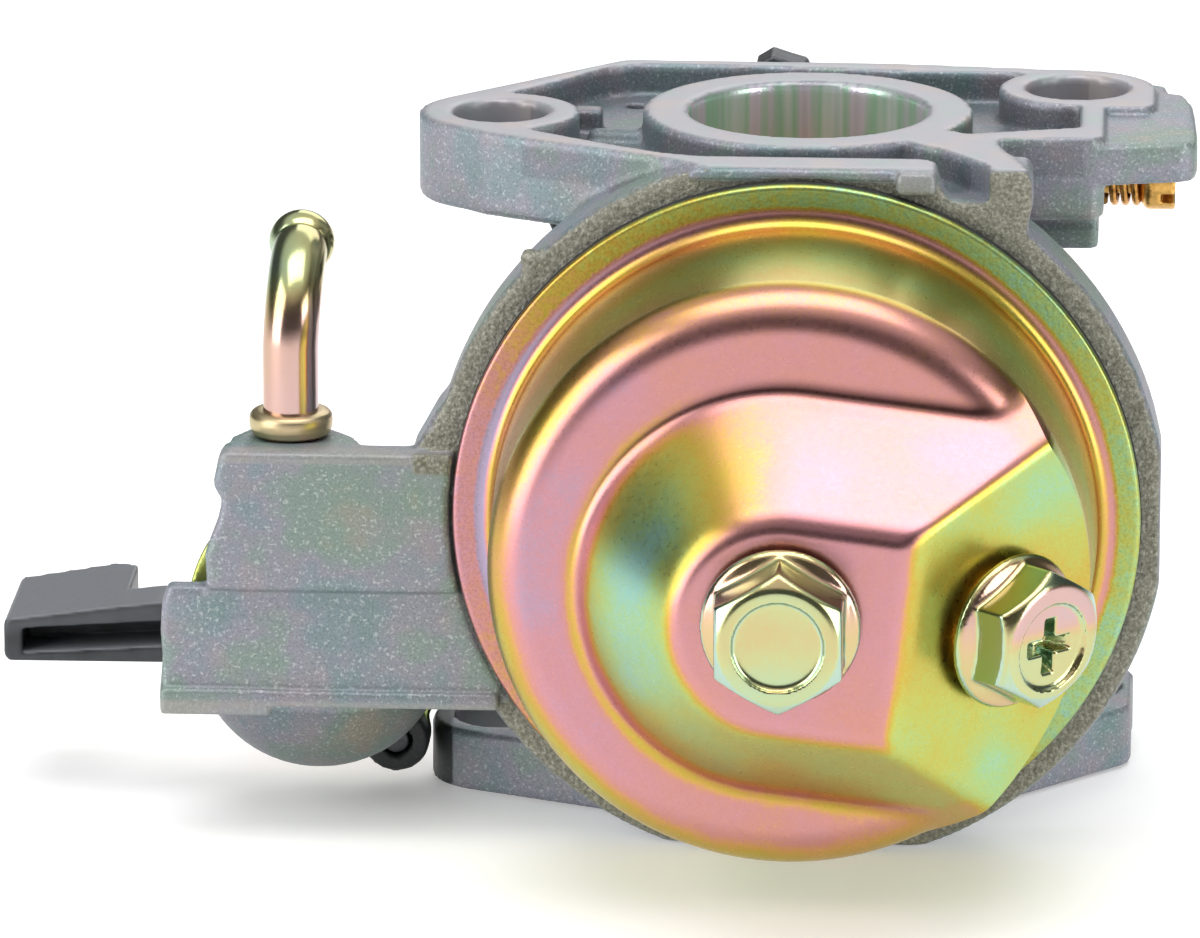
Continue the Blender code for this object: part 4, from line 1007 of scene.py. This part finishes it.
def bowl_film(places, normals):
    """The plating's colour value with its painted reflections, its coarseness and painted dark bands: each
    pressed region takes its own colour, tinted by the way it faces.
    """
    x, y, z = places.T
    depth, radius = -y, np.hypot(x, z - BOWL_Z)
    u, v = bowl_axes(x, z)
    v = v - RAISED_SHIFT
    q = np.where(u < 0, np.hypot(u, v), np.abs(v))
    # Painted reflection: the raised part's slopes are tinted by the way they face; those that look up take
    # pink as if reflecting the light above, those facing left or down stay gold, green and teal.
    left, up, down = (np.clip(part / (q + 1e-6), 0, 1) for part in (-u, v, -v))
    up, down = up**3, down**2
    teal = np.exp(-(((q - 14.5) / 3.4) ** 2))
    slope = (left * (0.30 - 0.27 * teal) + up * 0.74 + down * 0.31) / (left + up + down + 1e-6)
    floor = 0.68 + 0.13 * smooth_step(-x, 8, 20) - 0.06 * smooth_step(x, 2, 16)
    border = np.exp(-(((q - 20.6) / 0.7) ** 2)) * np.clip(1.4 * (left + down) - 0.5, 0, 1)
    plateau = (smooth_step(q, 11.4, 9.6), 0.72)
    flat = blended(floor, (border, 0.42), (smooth_step(q, 19.8, 18.2), slope), plateau)
    facet_film = 0.29 - 0.17 * spot(x, z, (23.9, -24.6), 5.0) - 0.2 * spot(x, z, (19.9, -52.0), 4.2)
    facet_film = facet_film + 0.16 * spot(x, z, (22.0, -37.0), 7.5)
    facet = smooth_step(depth - DRAIN_CUT + u, -0.8, -0.1)
    # Painted reflection: the cup's edge shifts from pink towards gold and green towards the left and the
    # bottom, where it faces aside.
    edge = smooth_step(radius, CUP_END - 3.6, CUP_END - 1.0)
    below = np.clip((BOWL_Z - z) / 29, 0, 1)
    film = blended(
        flat,
        (edge, 0.62 - 0.2 * np.clip(-x / 29, 0, 1) - 0.2 * below),
        (facet, facet_film),
        (smooth_step(CUP_FLOOR - depth, CUP_CORNER - 2.0, CUP_CORNER - 0.6), 0.36),
        (smooth_step(CUP_FLOOR - depth, CUP_CORNER, 12.0), 0.25),
        (smooth_step(-depth, -31.5, -28.5), 0.40),
    )
    rim = smooth_step(radius, CUP_RADIUS + 0.75, CUP_RADIUS + 1.0)
    bead = np.exp(-(((radius - CUP_RADIUS - 0.45) / 0.4) ** 2)) * (depth < 28.6)
    rim_film = 0.20 + 0.55 * np.clip(-x / 33, 0, 1) ** 2 + 0.47 * smooth_step(radius, 31.6, 30.9)
    film = blended(film, (rim, rim_film), (bead, 0.42))
    # Painted reflection: dark bands along the foot and the plateau's edge stand for the dark that these
    # creases reflect.
    painted_dark_reflections = 0.72 * np.exp(-(((q - 20.1) / 0.6) ** 2)) + 0.6 * np.exp(-(((q - 10.5) / 0.6) ** 2))
    painted_dark_reflections = painted_dark_reflections * up * (1 - facet) * (1 - edge)
    return film, np.where(radius > 31.2, 0.5, 0.1), painted_dark_reflections


def bowl():
    line = cup_line()
    sides = 240
    angles = 2 * math.pi * np.arange(sides) / sides
    radius = np.array([p[0] for p in line])[:, None] * np.ones(sides)
    depth = np.array([p[1] for p in line])[:, None] * np.ones(sides)
    x = radius * np.cos(angles)
    z = BOWL_Z + radius * np.sin(angles)
    cup = np.array([p[2] for p in line]) == 1
    depth[cup] = bowl_depth(x[cup], z[cup], depth[cup])
    points = np.stack([x, -depth, z], -1).reshape(-1, 3)
    rows, columns = np.meshgrid(np.arange(len(line) - 1), np.arange(sides), indexing="ij")
    after = (columns + 1) % sides
    low, high = rows * sides, (rows + 1) * sides
    faces = np.stack([low + columns, high + columns, high + after, low + after], -1)
    mesh = mesh_from(points, faces.reshape(-1, 4))
    places, normals = values(mesh, "place"), values(mesh, "normal")
    if normals[:, 1].sum() > 0:
        mesh.flip_normals()
        normals = -normals
    film, coarse, painted_dark_reflections = bowl_film(places, normals)
    mark(mesh, film=film, coarse=coarse, dark=painted_dark_reflections)
    made = shown("float_bowl_shell", mesh, ZINC, "float_bowl")
    open_disc(mesh, drain_point(), 3.4)
    sheet = made.modifiers.new("Sheet", "SOLIDIFY")
    sheet.thickness = 0.95 * MM
    sheet.offset = -1.0
    applied(made)


def open_disc(mesh, centre, radius):
    """Takes away the faces near a point, where a screw passes through."""
    bm = bmesh.new()
    bm.from_mesh(mesh)
    near = [f for f in bm.faces if (f.calc_center_median() / MM - Vector(centre)).length < radius]
    bmesh.ops.delete(bm, geom=near, context="FACES")
    bm.to_mesh(mesh)
    bm.free()


def applied(made):
    """Turns a piece's modifiers into its mesh."""
    bpy.context.view_layer.update()
    mesh = bpy.data.meshes.new_from_object(made.evaluated_get(bpy.context.evaluated_depsgraph_get()))
    made.modifiers.clear()
    made.data = mesh


# ---- Bolts and washers ---------------------------------------------------------------


def bolt_carving(base, out, tall, recess):
    """A flanged hexagon head on a base point, pointing out: its rim, its chamfer and its hollow top."""
    base, out = np.array(base, float), np.array(out, float)
    up = np.array((0.0, 0.0, 1.0))
    side = np.cross(up, out)
    low, high = base - 9.5, base + 9.5
    tip = base + out * 8.6
    carving = Carving(np.minimum(low, tip - 9), np.maximum(high, tip + 0.5), pitch(0.2, 0.4))
    edge = [(0, 0), (7.5, 0), (7.6, 0.5), (7.3, 1.0), (6.2, 1.5), (0, 2.0)]
    carving.add(turned_field(edge, base, base + out))
    flats = 6.0

    def hexagon(x, y, z):
        height, a, b = offsets(x, y, z, base, out, side, up)
        a, b = np.abs(a), np.abs(b)
        across = np.maximum(a, a * 0.5 + b * math.sqrt(0.75)) - flats
        radius = np.sqrt(a * a + b * b)
        crown = (height - tall) * 0.79 + (radius - 5.5) * 0.61
        shape = corner(corner(across, height - tall, 0.25), crown, 0.25)
        return np.maximum(shape, -height)

    carving.add(Shape(hexagon, base - 7.5, base + 7.5 + out * 2), fillet=0.5)
    hollow = [(0, tall - 0.55), (3.9, tall - 0.55), (4.3, tall - 0.3), (4.5, tall + 1), (0, tall + 1)]
    carving.cut(turned_field(hollow, base, base + out))
    if recess:
        cross = base + out * (tall - 0.35)
        for along, over in ((up, side), (side, up)):
            carving.cut(blade(cross, along, over, out), fillet=0.25)
    return carving


def blade(centre, along, across, out):
    """One arm pair of a cross recess, which narrows as it goes in."""

    def distance(x, y, z):
        a, b, height = offsets(x, y, z, centre, along, across, out)
        arms = np.maximum(np.abs(a) - 2.9 - height * 0.55, np.abs(b) - 0.75 - height * 0.12)
        return np.maximum(arms, -height - 2.6)

    return Shape(distance, centre - 4, centre + 4)


def drain_axis():
    """The way out of the slanted facet."""
    out = np.array((math.cos(BOWL_TURN), -1.0, math.sin(BOWL_TURN)))
    return out / np.linalg.norm(out)


def drain_point():
    along, _ = bowl_axes(DRAIN_X, DRAIN_Z)
    return np.array((DRAIN_X, along - DRAIN_CUT, DRAIN_Z))


def bolt_head(name, node, base, out, tall, recess):
    """A bolt's head, whose top, sides and rim took different colours; the sides' colour follows the way each
    face turns, a painted reflection.
    """
    mesh = carved(bolt_carving(base, out, tall, recess))
    places, normals = values(mesh, "place"), values(mesh, "normal")
    facing = normals @ out
    height = (places - base) @ out
    rise = (places[:, 2] - base[2] - out[2] * height) / 5
    lift = 0.5 * smooth_step(rise, 0.0, 0.5) if recess else 0.1 * np.sin(3 * rise + 1.2)
    film = np.where((facing > 0.9) & (height > 4), 0.27 + lift, film_of(normals, 0.44))
    film = np.where((facing > 0.6) & (height < 2.2), 0.5 + 0.14 * np.sin(2.5 * rise), film)
    shown(name, mark(mesh, film=film, coarse=0), BRIGHT_ZINC, node)


def bolts():
    """The bowl's two bolts, their washers and the seal between bowl and ring."""
    tall, out, drain = 7.3, drain_axis(), drain_point()
    base = np.array((0.0, HEAD_END + tall, BOWL_Z))
    bolt_head("bowl_center_bolt", "bowl_bolt", base, np.array((0.0, -1.0, 0.0)), tall, False)
    bolt_head("drain_plug_bolt", "drain_bolt", drain + out * 1.0, out, 5.9, True)
    ring = [(3.7, 0), (6.2, 0), (6.2, 0.78), (3.7, 0.78)]
    washer = turned(ring, (0, -62.62, BOWL_Z), (0, -63.4, BOWL_Z))
    shown("center_bolt_washer", washer, BRASS, "bowl_bolt_washer")
    start = drain + out * 0.1
    shown("drain_plug_washer", turned(ring, start, start + out * 0.8), BRASS, "drain_bolt_washer")
    gasket = [(31.0, 0), (33.5, 0), (33.6, 0.4), (33.5, 0.8), (31.0, 0.8)]
    mesh = turned(gasket, (0, RING_FRONT - 0.12, BOWL_Z), (0, RING_FRONT - 1, BOWL_Z), 160)
    shown("bowl_seal_ring", mesh, RUBBER, "bowl_gasket")


# ---- Fuel inlet ----------------------------------------------------------------------


def fuel_nipple():
    """A bent tube with a bead near its open end and a rolled collar at its foot."""
    radius, inside, bend, turn, angle = 2.72, 1.7, 8.0, -19.9, 82.0
    centre = [(NIPPLE_X, NIPPLE_Y, z) for z in (-41.5, BLOCK_TOP, -24.0)]
    for a in np.radians(np.linspace(0, angle, 16)):
        y = NIPPLE_Y + bend * (1 - math.cos(a))
        centre.append((NIPPLE_X + 0.4 * math.sin(a), y, turn + bend * math.sin(a)))
    a = math.radians(angle)
    ahead, end = Vector((0, math.sin(a), math.cos(a))), Vector(centre[-1])
    path, radii = list(centre), [radius] * len(centre)
    for share in np.linspace(0, 1, 13):
        path.append(end + ahead * (0.7 + 3.2 * share))
        radii.append(radius - 0.08 + 0.6 * math.sin(math.pi * share) ** 0.7)
    mouth = ((4.3, 2.55), (4.65, 2.45), (4.8, 2.2), (4.8, 1.75), (4.4, inside), (0.4, inside))
    for distance, size in mouth:
        path.append(end + ahead * distance)
        radii.append(size)
    path += centre[:2:-1]
    radii += [inside] * len(centre[:2:-1])
    mesh = swept(path, radii, 56)
    collar = [(2.6, 0.0), (3.4, 0), (3.85, 0.3), (4.05, 0.85), (4.1, 1.5), (4.05, 2.0)]
    collar += [(3.8, 2.35), (3.3, 2.55), (2.6, 2.6)]
    foot = (NIPPLE_X, NIPPLE_Y, BLOCK_TOP + 0.12)
    ring = turned(collar, foot, (NIPPLE_X, NIPPLE_Y, 0), 72, 0.12)
    # The colour value falls from the straight tube to the bend; the part that follows the way faces turn is
    # painted reflection.
    up = smooth_step(values(mesh, "place")[:, 2], -18.5, -12.0)
    mark(mesh, film=0.72 - 0.5 * up + 0.12 * values(mesh, "normal")[:, 0], coarse=0.05)
    shown("fuel_tube", mesh, BRIGHT_ZINC, "fuel_nipple")
    shown("fuel_tube_collar", mark(ring, film=0.42, coarse=0.05), DULL_ZINC, "fuel_nipple")


def valve_lever():
    front, back = VALVE_FACE + 0.6, -5.6
    low = (-80.0, front, -62.0)
    carving = Carving(low, (-37.0, 5.0, -41.0), pitch(0.3, 0.5))
    top = [(-56.0, -48.3), (-64.0, -48.4), (-78.9, -50.4), (-79.4, -50.8), (-79.4, -54.2), (-78.9, -54.8)]
    neck = top + [(-56.0, -54.7)]
    paddle = [(-67.3, -48.8)] + top[2:] + [(-67.3, -54.75)]
    carving.add(post(VALVE_X, VALVE_Z, front, back, HUB_RADIUS, 0.4))
    carving.add(prism(neck, "Y", front, back, 0.35), prism(paddle, "Y", front, 4.8, 0.35))
    hollow = [(-59.0, -50.1), (-77.5, -51.4), (-77.5, -53.8), (-59.0, -52.6)]
    slant = [(-68.4, 4.0), (-67.4, 2.6), (-67.0, 0.0), (-64.0, 6.0), (-81.0, 6.0), (-81.0, 3.0)]
    slant += [(-79.6, 3.2), (-69.8, 4.5)]
    carving.cut(prism(hollow, "Y", front - 2, -6.4), prism(slant, "Z", -60, -40))
    for x in (VALVE_X - 3.4, VALVE_X + 3.4):
        carving.cut(post(x, VALVE_Z, front - 1, front + 2.0, 1.4))
    mesh = carved(carving)
    # Painted highlight: faces turned up, and the front of the lever's upper part, are marked greyer as if
    # they caught the light from above.
    _, ny, nz = values(mesh, "normal").T
    high = smooth_step(values(mesh, "place")[:, 2], -52.5, -51.0)
    mark(mesh, film=0.75 * smooth_step(nz, 0.5, 0.9) + 0.16 * high * smooth_step(-ny, 0.5, 0.9))
    shown("fuel_lever", mesh, PLASTIC, "fuel_valve_lever")


def valve_cover():
    front, back = -4.85, -3.75
    carving = Carving((-63, front, -70), (-33, -1.9, -36), pitch(0.28, 0.5))
    carving.add(post(VALVE_X, VALVE_Z, front, back, 14.1, 0.2))
    for ear in ears():
        carving.add(strap(((VALVE_X, VALVE_Z), 8.0), (ear, EAR_RADIUS), "Y", front, back, 0.2), fillet=0.6)
    raised = [(0, 0), (11.6, 0), (11.4, 1.2), (10.6, 2.0), (9.6, 2.35), (0, 2.4)]
    carving.add(turned_field(raised, (VALVE_X, -4.4, VALVE_Z), (VALVE_X, 9, VALVE_Z)), fillet=0.6)
    carving.cut(*[post(x, z, -9, 2, 1.42) for x, z in ears()])
    mesh = carved(carving)
    # Painted reflection: the cover's colour follows the way each face turns.
    mark(mesh, film=0.22 + 0.3 * smooth_step(values(mesh, "normal")[:, 1], 0.2, 0.9), coarse=0.1)
    shown("valve_cover", mesh, ZINC, "fuel_valve_cap")
    # Painted shade: the screws take the dark steel finish because they sit in shade behind the dome.
    for number, (x, z) in enumerate(ears(), 1):
        screw = slotted_screw((x, back + 1.42, z), (0, -1, 0), 5.6)
        shown(f"valve_cover_screw_{number}", screw, DARK_STEEL, f"fuel_valve_screw_{number}")
    shown("valve_spring_washer", wavy_washer(), STEEL, "fuel_valve_wave_washer")
    seal = [(0, 0), (9.2, 0), (9.2, 1.8), (0, 1.8)]
    ends = (VALVE_X, VALVE_FACE - 1.4, VALVE_Z), (VALVE_X, 0, VALVE_Z)
    shown("valve_seal", turned(seal, *ends), RUBBER, "fuel_valve_seal")


def wavy_washer():
    """A thin spring washer with three waves."""
    sides, points, faces = 96, [], []
    for i in range(sides):
        angle = 2 * math.pi * i / sides
        level = -5.22 + 0.1 * math.sin(3 * angle)
        for radius, y in ((6.4, -0.1), (9.4, -0.1), (9.4, 0.1), (6.4, 0.1)):
            points.append((VALVE_X + radius * math.cos(angle), level + y, VALVE_Z + radius * math.sin(angle)))
    for i in range(sides):
        j = (i + 1) % sides
        for k in range(4):
            m = (k + 1) % 4
            faces.append((i * 4 + k, i * 4 + m, j * 4 + m, j * 4 + k))
    return finished(points, faces)


def slotted_screw(top, direction, length):
    """A round-head screw with a slot, from the top of its head along direction."""
    top, down = np.array(top, float), np.array(direction, float)
    tip, reach = top + down * length, np.abs(down) * length + 2.6
    carving = Carving(np.minimum(top, tip) - 2.4, np.maximum(top, tip) + 2.4, 0.2)
    profile = [(0, 0), (1.2, 0), (1.9, 0.25), (2.2, 0.7), (2.2, 1.3), (1.3, 1.3), (1.3, length), (0, length)]
    carving.add(turned_field(profile, top, top + down))
    across = np.array((0.0, 0.0, 1.0)) if abs(down[2]) < 0.5 else np.array((1.0, 0.0, 0.0))

    def slot(x, y, z):
        side, deep = offsets(x, y, z, top, across, down)
        return np.maximum(np.abs(side) - 0.32, deep - 0.6)

    return carved(carving.cut(Shape(slot, top - reach, top + reach)))


# ---- Screws, shafts, plates and levers -------------------------------------------------


def pilot_screw():
    """The mixture screw with its needle end, slotted head and spring."""
    low, high = node_box("pilot_screw")
    tip = low[0]
    carving = Carving(low, high, 0.18)
    needle = [(0, 0), (0.4, 0), (1.5, 3.6), (1.5, 12.4), (2.9, 13.5), (3.0, 13.8), (3.0, 16.2)]
    needle += [(2.85, 16.4), (0, 16.4)]
    carving.add(turned_field(needle, (tip, PILOT_Y, PILOT_Z), (tip + 1, PILOT_Y, PILOT_Z)))
    turn = math.radians(30)

    def slot(x, y, z):
        side = np.abs((z - PILOT_Z) * math.cos(turn) - (y - PILOT_Y) * math.sin(turn)) - 0.55
        return np.maximum(side, tip + 15.0 - x)

    carving.cut(Shape(slot, (tip + 15, PILOT_Y - 4, PILOT_Z - 4), (tip + 18, PILOT_Y + 4, PILOT_Z + 4)))
    shown("pilot_adjusting_screw", carved(carving), BRASS, "pilot_screw")
    spring = coil((28.95, PILOT_Y, PILOT_Z), (33.3, PILOT_Y, PILOT_Z), 2.3, 0.4, 3.25)
    shown("pilot_spring", spring, BRONZE, "pilot_screw_spring")


def idle_screw():
    """The idle stop screw with its knurled, slotted head and spring."""
    low, high = node_box("idle_stop_screw")
    head = low[0]
    carving = Carving(low, high, 0.3)
    screw = [(0, 0), (3.6, 0), (4.0, 0.4), (4.0, 2.8), (3.7, 3.0), (1.5, 3.0), (1.5, 22.8)]
    screw += [(0.9, 23.4), (0, 23.4)]
    carving.add(turned_field(screw, (head, STOP_Y, STOP_Z), (head + 1, STOP_Y, STOP_Z)))
    carving.cut(box((head - 2, STOP_Y - 5, STOP_Z - 0.6), (head + 1.1, STOP_Y + 5, STOP_Z + 0.6)))
    for y, z in arc((STOP_Y, STOP_Z), 4.15, 0, 345, 23):
        carving.cut(rod((head - 1, y, z), (head + 2.9, y, z), 0.3), fillet=0.15)
    shown("idle_adjusting_screw", carved(carving), PLASTIC, "idle_stop_screw")
    spring = coil((-16.9, STOP_Y, STOP_Z), (-14.6, STOP_Y, STOP_Z), 2.4, 0.35, 2.4)
    shown("idle_spring", spring, STEEL, "idle_stop_spring")


def shaft(name, node, radius, z, flat):
    """A turned shaft with the flat that its plate is screwed to."""
    low, high = node_box(node)
    carving = Carving(low, high, 0.3)
    carving.add(post(0, z, low[1], high[1], radius, 0.3))
    carving.cut(flat)
    shown(name, carved(carving), STEEL, node)


def plate_screws(part, z, out, length):
    """The two screws that hold a plate on its shaft's flat, with their heads towards out."""
    for number, y in ((1, -5), (2, 5)):
        screw = slotted_screw((0, y, z) + 2.42 * out, -out, length)
        shown(f"{part}_disc_screw_{number}", screw, BRASS, f"{part}_plate_screw_{number}")


def throttle():
    z = THROTTLE_Z
    flat = box((-5, -11.6, z - 0.12), (5, 11.6, z + 5))
    shaft("throttle_spindle", "throttle_shaft", 3.0, z, flat)
    disc = [(0, 0), (11.55, 0), (11.55, 1.0), (0, 1.0)]
    shown("throttle_disc", turned(disc, (0, 0, z), (0, 0, z + 1), 120, 0.15), BRASS, "throttle_plate")
    plate_screws("throttle", z, np.array((0, 0, 1)), 5.4)
    low, high = node_box("throttle_lever")
    bottom, top = 27.8, 29.6
    carving = Carving(low, high, pitch(0.3, 0.5))
    point = [(-5.2, z + 2), (-6.6, -3.6), (-4.5, -0.8), (-1.2, -1.8), (3.6, z + 4.2)]
    tip = [(-6.4, -3.6), (-6.2, -1.6), (-4.6, -0.62), (-2.9, -1.2), (-1.1, -1.7), (-1.1, -3.6)]
    carving.add(
        strap(((0, z), 5.6), ((7.0, STOP_Z + 0.8), 3.0), "Y", bottom, top, 0.3),
        strap(((0, z), 5.0), ((-24.0, z - 6.0), 3.6), "Y", bottom, top, 0.3),
        prism(point, "Y", bottom, top, 0.3),
        box((3.8, 20.6, STOP_Z - 2.4), (5.6, bottom + 1, STOP_Z + 2.6), 0.3),
        prism(tip, "Y", 25.4, 30.0, 0.25),
        fillet=0.5,
    )
    carving.cut(
        post(-24.0, z - 6.0, 20, 40, 1.3),
        post(-16.0, z - 4.0, 20, 40, 1.0),
        post(0, z, 20, 40, 3.12),
    )
    shown("throttle_arm", carved(carving), DARK_STEEL, "throttle_lever")
    nut(z, node_box("throttle_lever_nut")[0][1])


def nut(z, start):
    """The flanged nut that holds the throttle lever."""
    low, high = node_box("throttle_lever_nut")
    carving = Carving(low - 1, high + 1, 0.2)
    carving.add(post(0, z, start, start + 0.8, 4.2, 0.2))
    carving.add(prism(arc((0, z), 3.1, 0, 300, 5), "Y", start, start + 3.05, 0.25))
    carving.cut(post(0, z, start + 2.6, start + 4, 1.6))
    shown("throttle_arm_nut", carved(carving), STEEL, "throttle_lever_nut")


def choke():
    z = CHOKE_Z
    flat = box((-0.12, -12.9, z - 5), (5, 12.9, z + 5))
    shaft("choke_spindle", "choke_shaft", 2.6, z, flat)
    disc = Carving(*node_box("choke_plate"), pitch(0.25, 0.4))
    disc.add(rod((0, 0, z), (1.0, 0, z), 12.6, 0.15)).cut(rod((-3, 0, z - 7), (3, 0, z - 7), 1.6))
    shown("choke_disc", carved(disc), BRASS, "choke_plate")
    plate_screws("choke", z, np.array((1, 0, 0)), 4.8)
    low, high = node_box("choke_lever")
    carving = Carving(low, high, pitch(0.3, 0.5))
    carving.add(strap(((0, z), 5.0), ((21.0, z), 3.6), "Y", 20.6, 23.0, 0.5))
    carving.add(post(21.0, z, 22.0, 27.4, 2.4, 0.9), fillet=1.0)
    carving.cut(post(0, z, 18, 40, 2.72))
    carving.cut(strap(((6.5, z), 2.4), ((15.5, z), 1.7), "Y", 22.3, 24.0, 0.2))
    shown("choke_arm", carved(carving), PLASTIC, "choke_lever")
    cap = [(0, 0), (4.0, 0), (3.8, 0.7), (3.0, 1.3), (1.6, 1.55), (0, 1.6)]
    start = node_box("choke_lever_cap")[0][1]
    shown("choke_arm_cap", turned(cap, (0, start, z), (0, 90, z)), STEEL, "choke_lever_cap")


def inner_pieces():
    """The pieces inside the float chamber keep their CAD shapes."""
    looks = {"float_pin": STEEL, "float": PLASTIC, "float_needle": RUBBER}
    for node in ("main_jet", "main_nozzle", "pilot_jet", "needle_seat", *looks):
        made = frame["nodes"][node]
        made.data.materials.clear()
        made.data.materials.append(looks.get(node, BRASS))


# ---- Stage ---------------------------------------------------------------------------


def stage_look():
    look = Look("pale floor", 0.7)
    tone = look.grain(400.0)
    look.set(look.shader.inputs["Emission Color"], (255, 255, 255))
    look.set(look.shader.inputs["Emission Strength"], 0.24)
    return look.finish(look.ramp(tone, [(0.3, (243, 243, 243)), (0.7, (248, 248, 248))]))


def stage():
    low, _ = CAD_BOX
    mesh = bpy.data.meshes.new("floor")
    size = 6.0
    corners = [(-size, -size, 0), (size, -size, 0), (size, size, 0), (-size, size, 0)]
    mesh.from_pydata(corners, [], [(0, 1, 2, 3)])
    mesh.materials.append(stage_look())
    floor = bpy.data.objects.new("floor", mesh)
    floor.location = (0, 0, low.z - 0.0002)
    bpy.context.scene.collection.objects.link(floor)


def area_light(name, place, aim, size, power):
    data = bpy.data.lights.new(name, "AREA")
    data.shape = "RECTANGLE"
    data.size, data.size_y = size
    data.energy = power
    light = bpy.data.objects.new(name, data)
    light.location = place
    light.rotation_euler = (Vector(aim) - Vector(place)).to_track_quat("-Z", "Y").to_euler()
    bpy.context.scene.collection.objects.link(light)


def studio():
    world = bpy.data.worlds.new("studio")
    bpy.context.scene.world = world
    world.use_nodes = True
    tree = world.node_tree
    back = tree.nodes["Background"]
    where = tree.nodes.new("ShaderNodeTexCoord")
    split = tree.nodes.new("ShaderNodeSeparateXYZ")
    tree.links.new(where.outputs["Generated"], split.inputs[0])
    ramp = tree.nodes.new("ShaderNodeValToRGB")
    tree.links.new(split.outputs["Z"], ramp.inputs["Fac"])
    stops = ((0.0, 0.62), (0.05, 0.45), (0.12, 0.09), (0.55, 0.09), (0.74, 0.75), (1.0, 0.9))
    while len(ramp.color_ramp.elements) < len(stops):
        ramp.color_ramp.elements.new(0.5)
    for element, (at, level) in zip(ramp.color_ramp.elements, stops):
        element.position = at
        element.color = (level, level, level, 1)
    path = tree.nodes.new("ShaderNodeLightPath")
    mix = tree.nodes.new("ShaderNodeMix")
    mix.data_type = "RGBA"
    tree.links.new(path.outputs["Is Camera Ray"], mix.inputs[0])
    tree.links.new(ramp.outputs["Color"], mix.inputs[6])
    mix.inputs[7].default_value = (0.9, 0.9, 0.9, 1)
    tree.links.new(mix.outputs[2], back.inputs["Color"])
    back.inputs["Strength"].default_value = 1.0
    centre = (-0.02, -0.02, -0.035)
    area_light("top softbox", (0.0, -0.10, 0.52), centre, (0.55, 0.36), 1.8)
    area_light("left softbox", (-0.62, -0.36, 0.19), centre, (0.5, 0.72), 4.2)
    area_light("right softbox", (0.62, -0.36, 0.12), centre, (0.35, 0.5), 2.2)
    area_light("back softbox", (0.1, 0.6, 0.35), centre, (0.5, 0.4), 1.2)
    bpy.context.scene.view_settings.view_transform = "Standard"


def camera():
    """A long lens a metre in front of the bowl, a little above it and to the right."""
    data = bpy.data.cameras.new("camera")
    data.lens, data.sensor_width = 300.0, 36.0
    made = bpy.data.objects.new("camera", data)
    azimuth, elevation, distance = math.radians(3.3), math.radians(15.4), 1.0
    level = math.cos(elevation)
    ahead = Vector((-math.sin(azimuth) * level, math.cos(azimuth) * level, -math.sin(elevation)))
    target = Vector((-20.6, 0.0, -37.3)) * MM
    made.location = target - ahead * distance
    made.rotation_mode = "QUATERNION"
    made.rotation_quaternion = ahead.to_track_quat("-Z", "Y")
    bpy.context.scene.collection.objects.link(made)
    bpy.context.scene.camera = made


casting()
bowl()
bolts()
fuel_nipple()
valve_lever()
valve_cover()
pilot_screw()
idle_screw()
throttle()
choke()
inner_pieces()
stage()
studio()
camera()
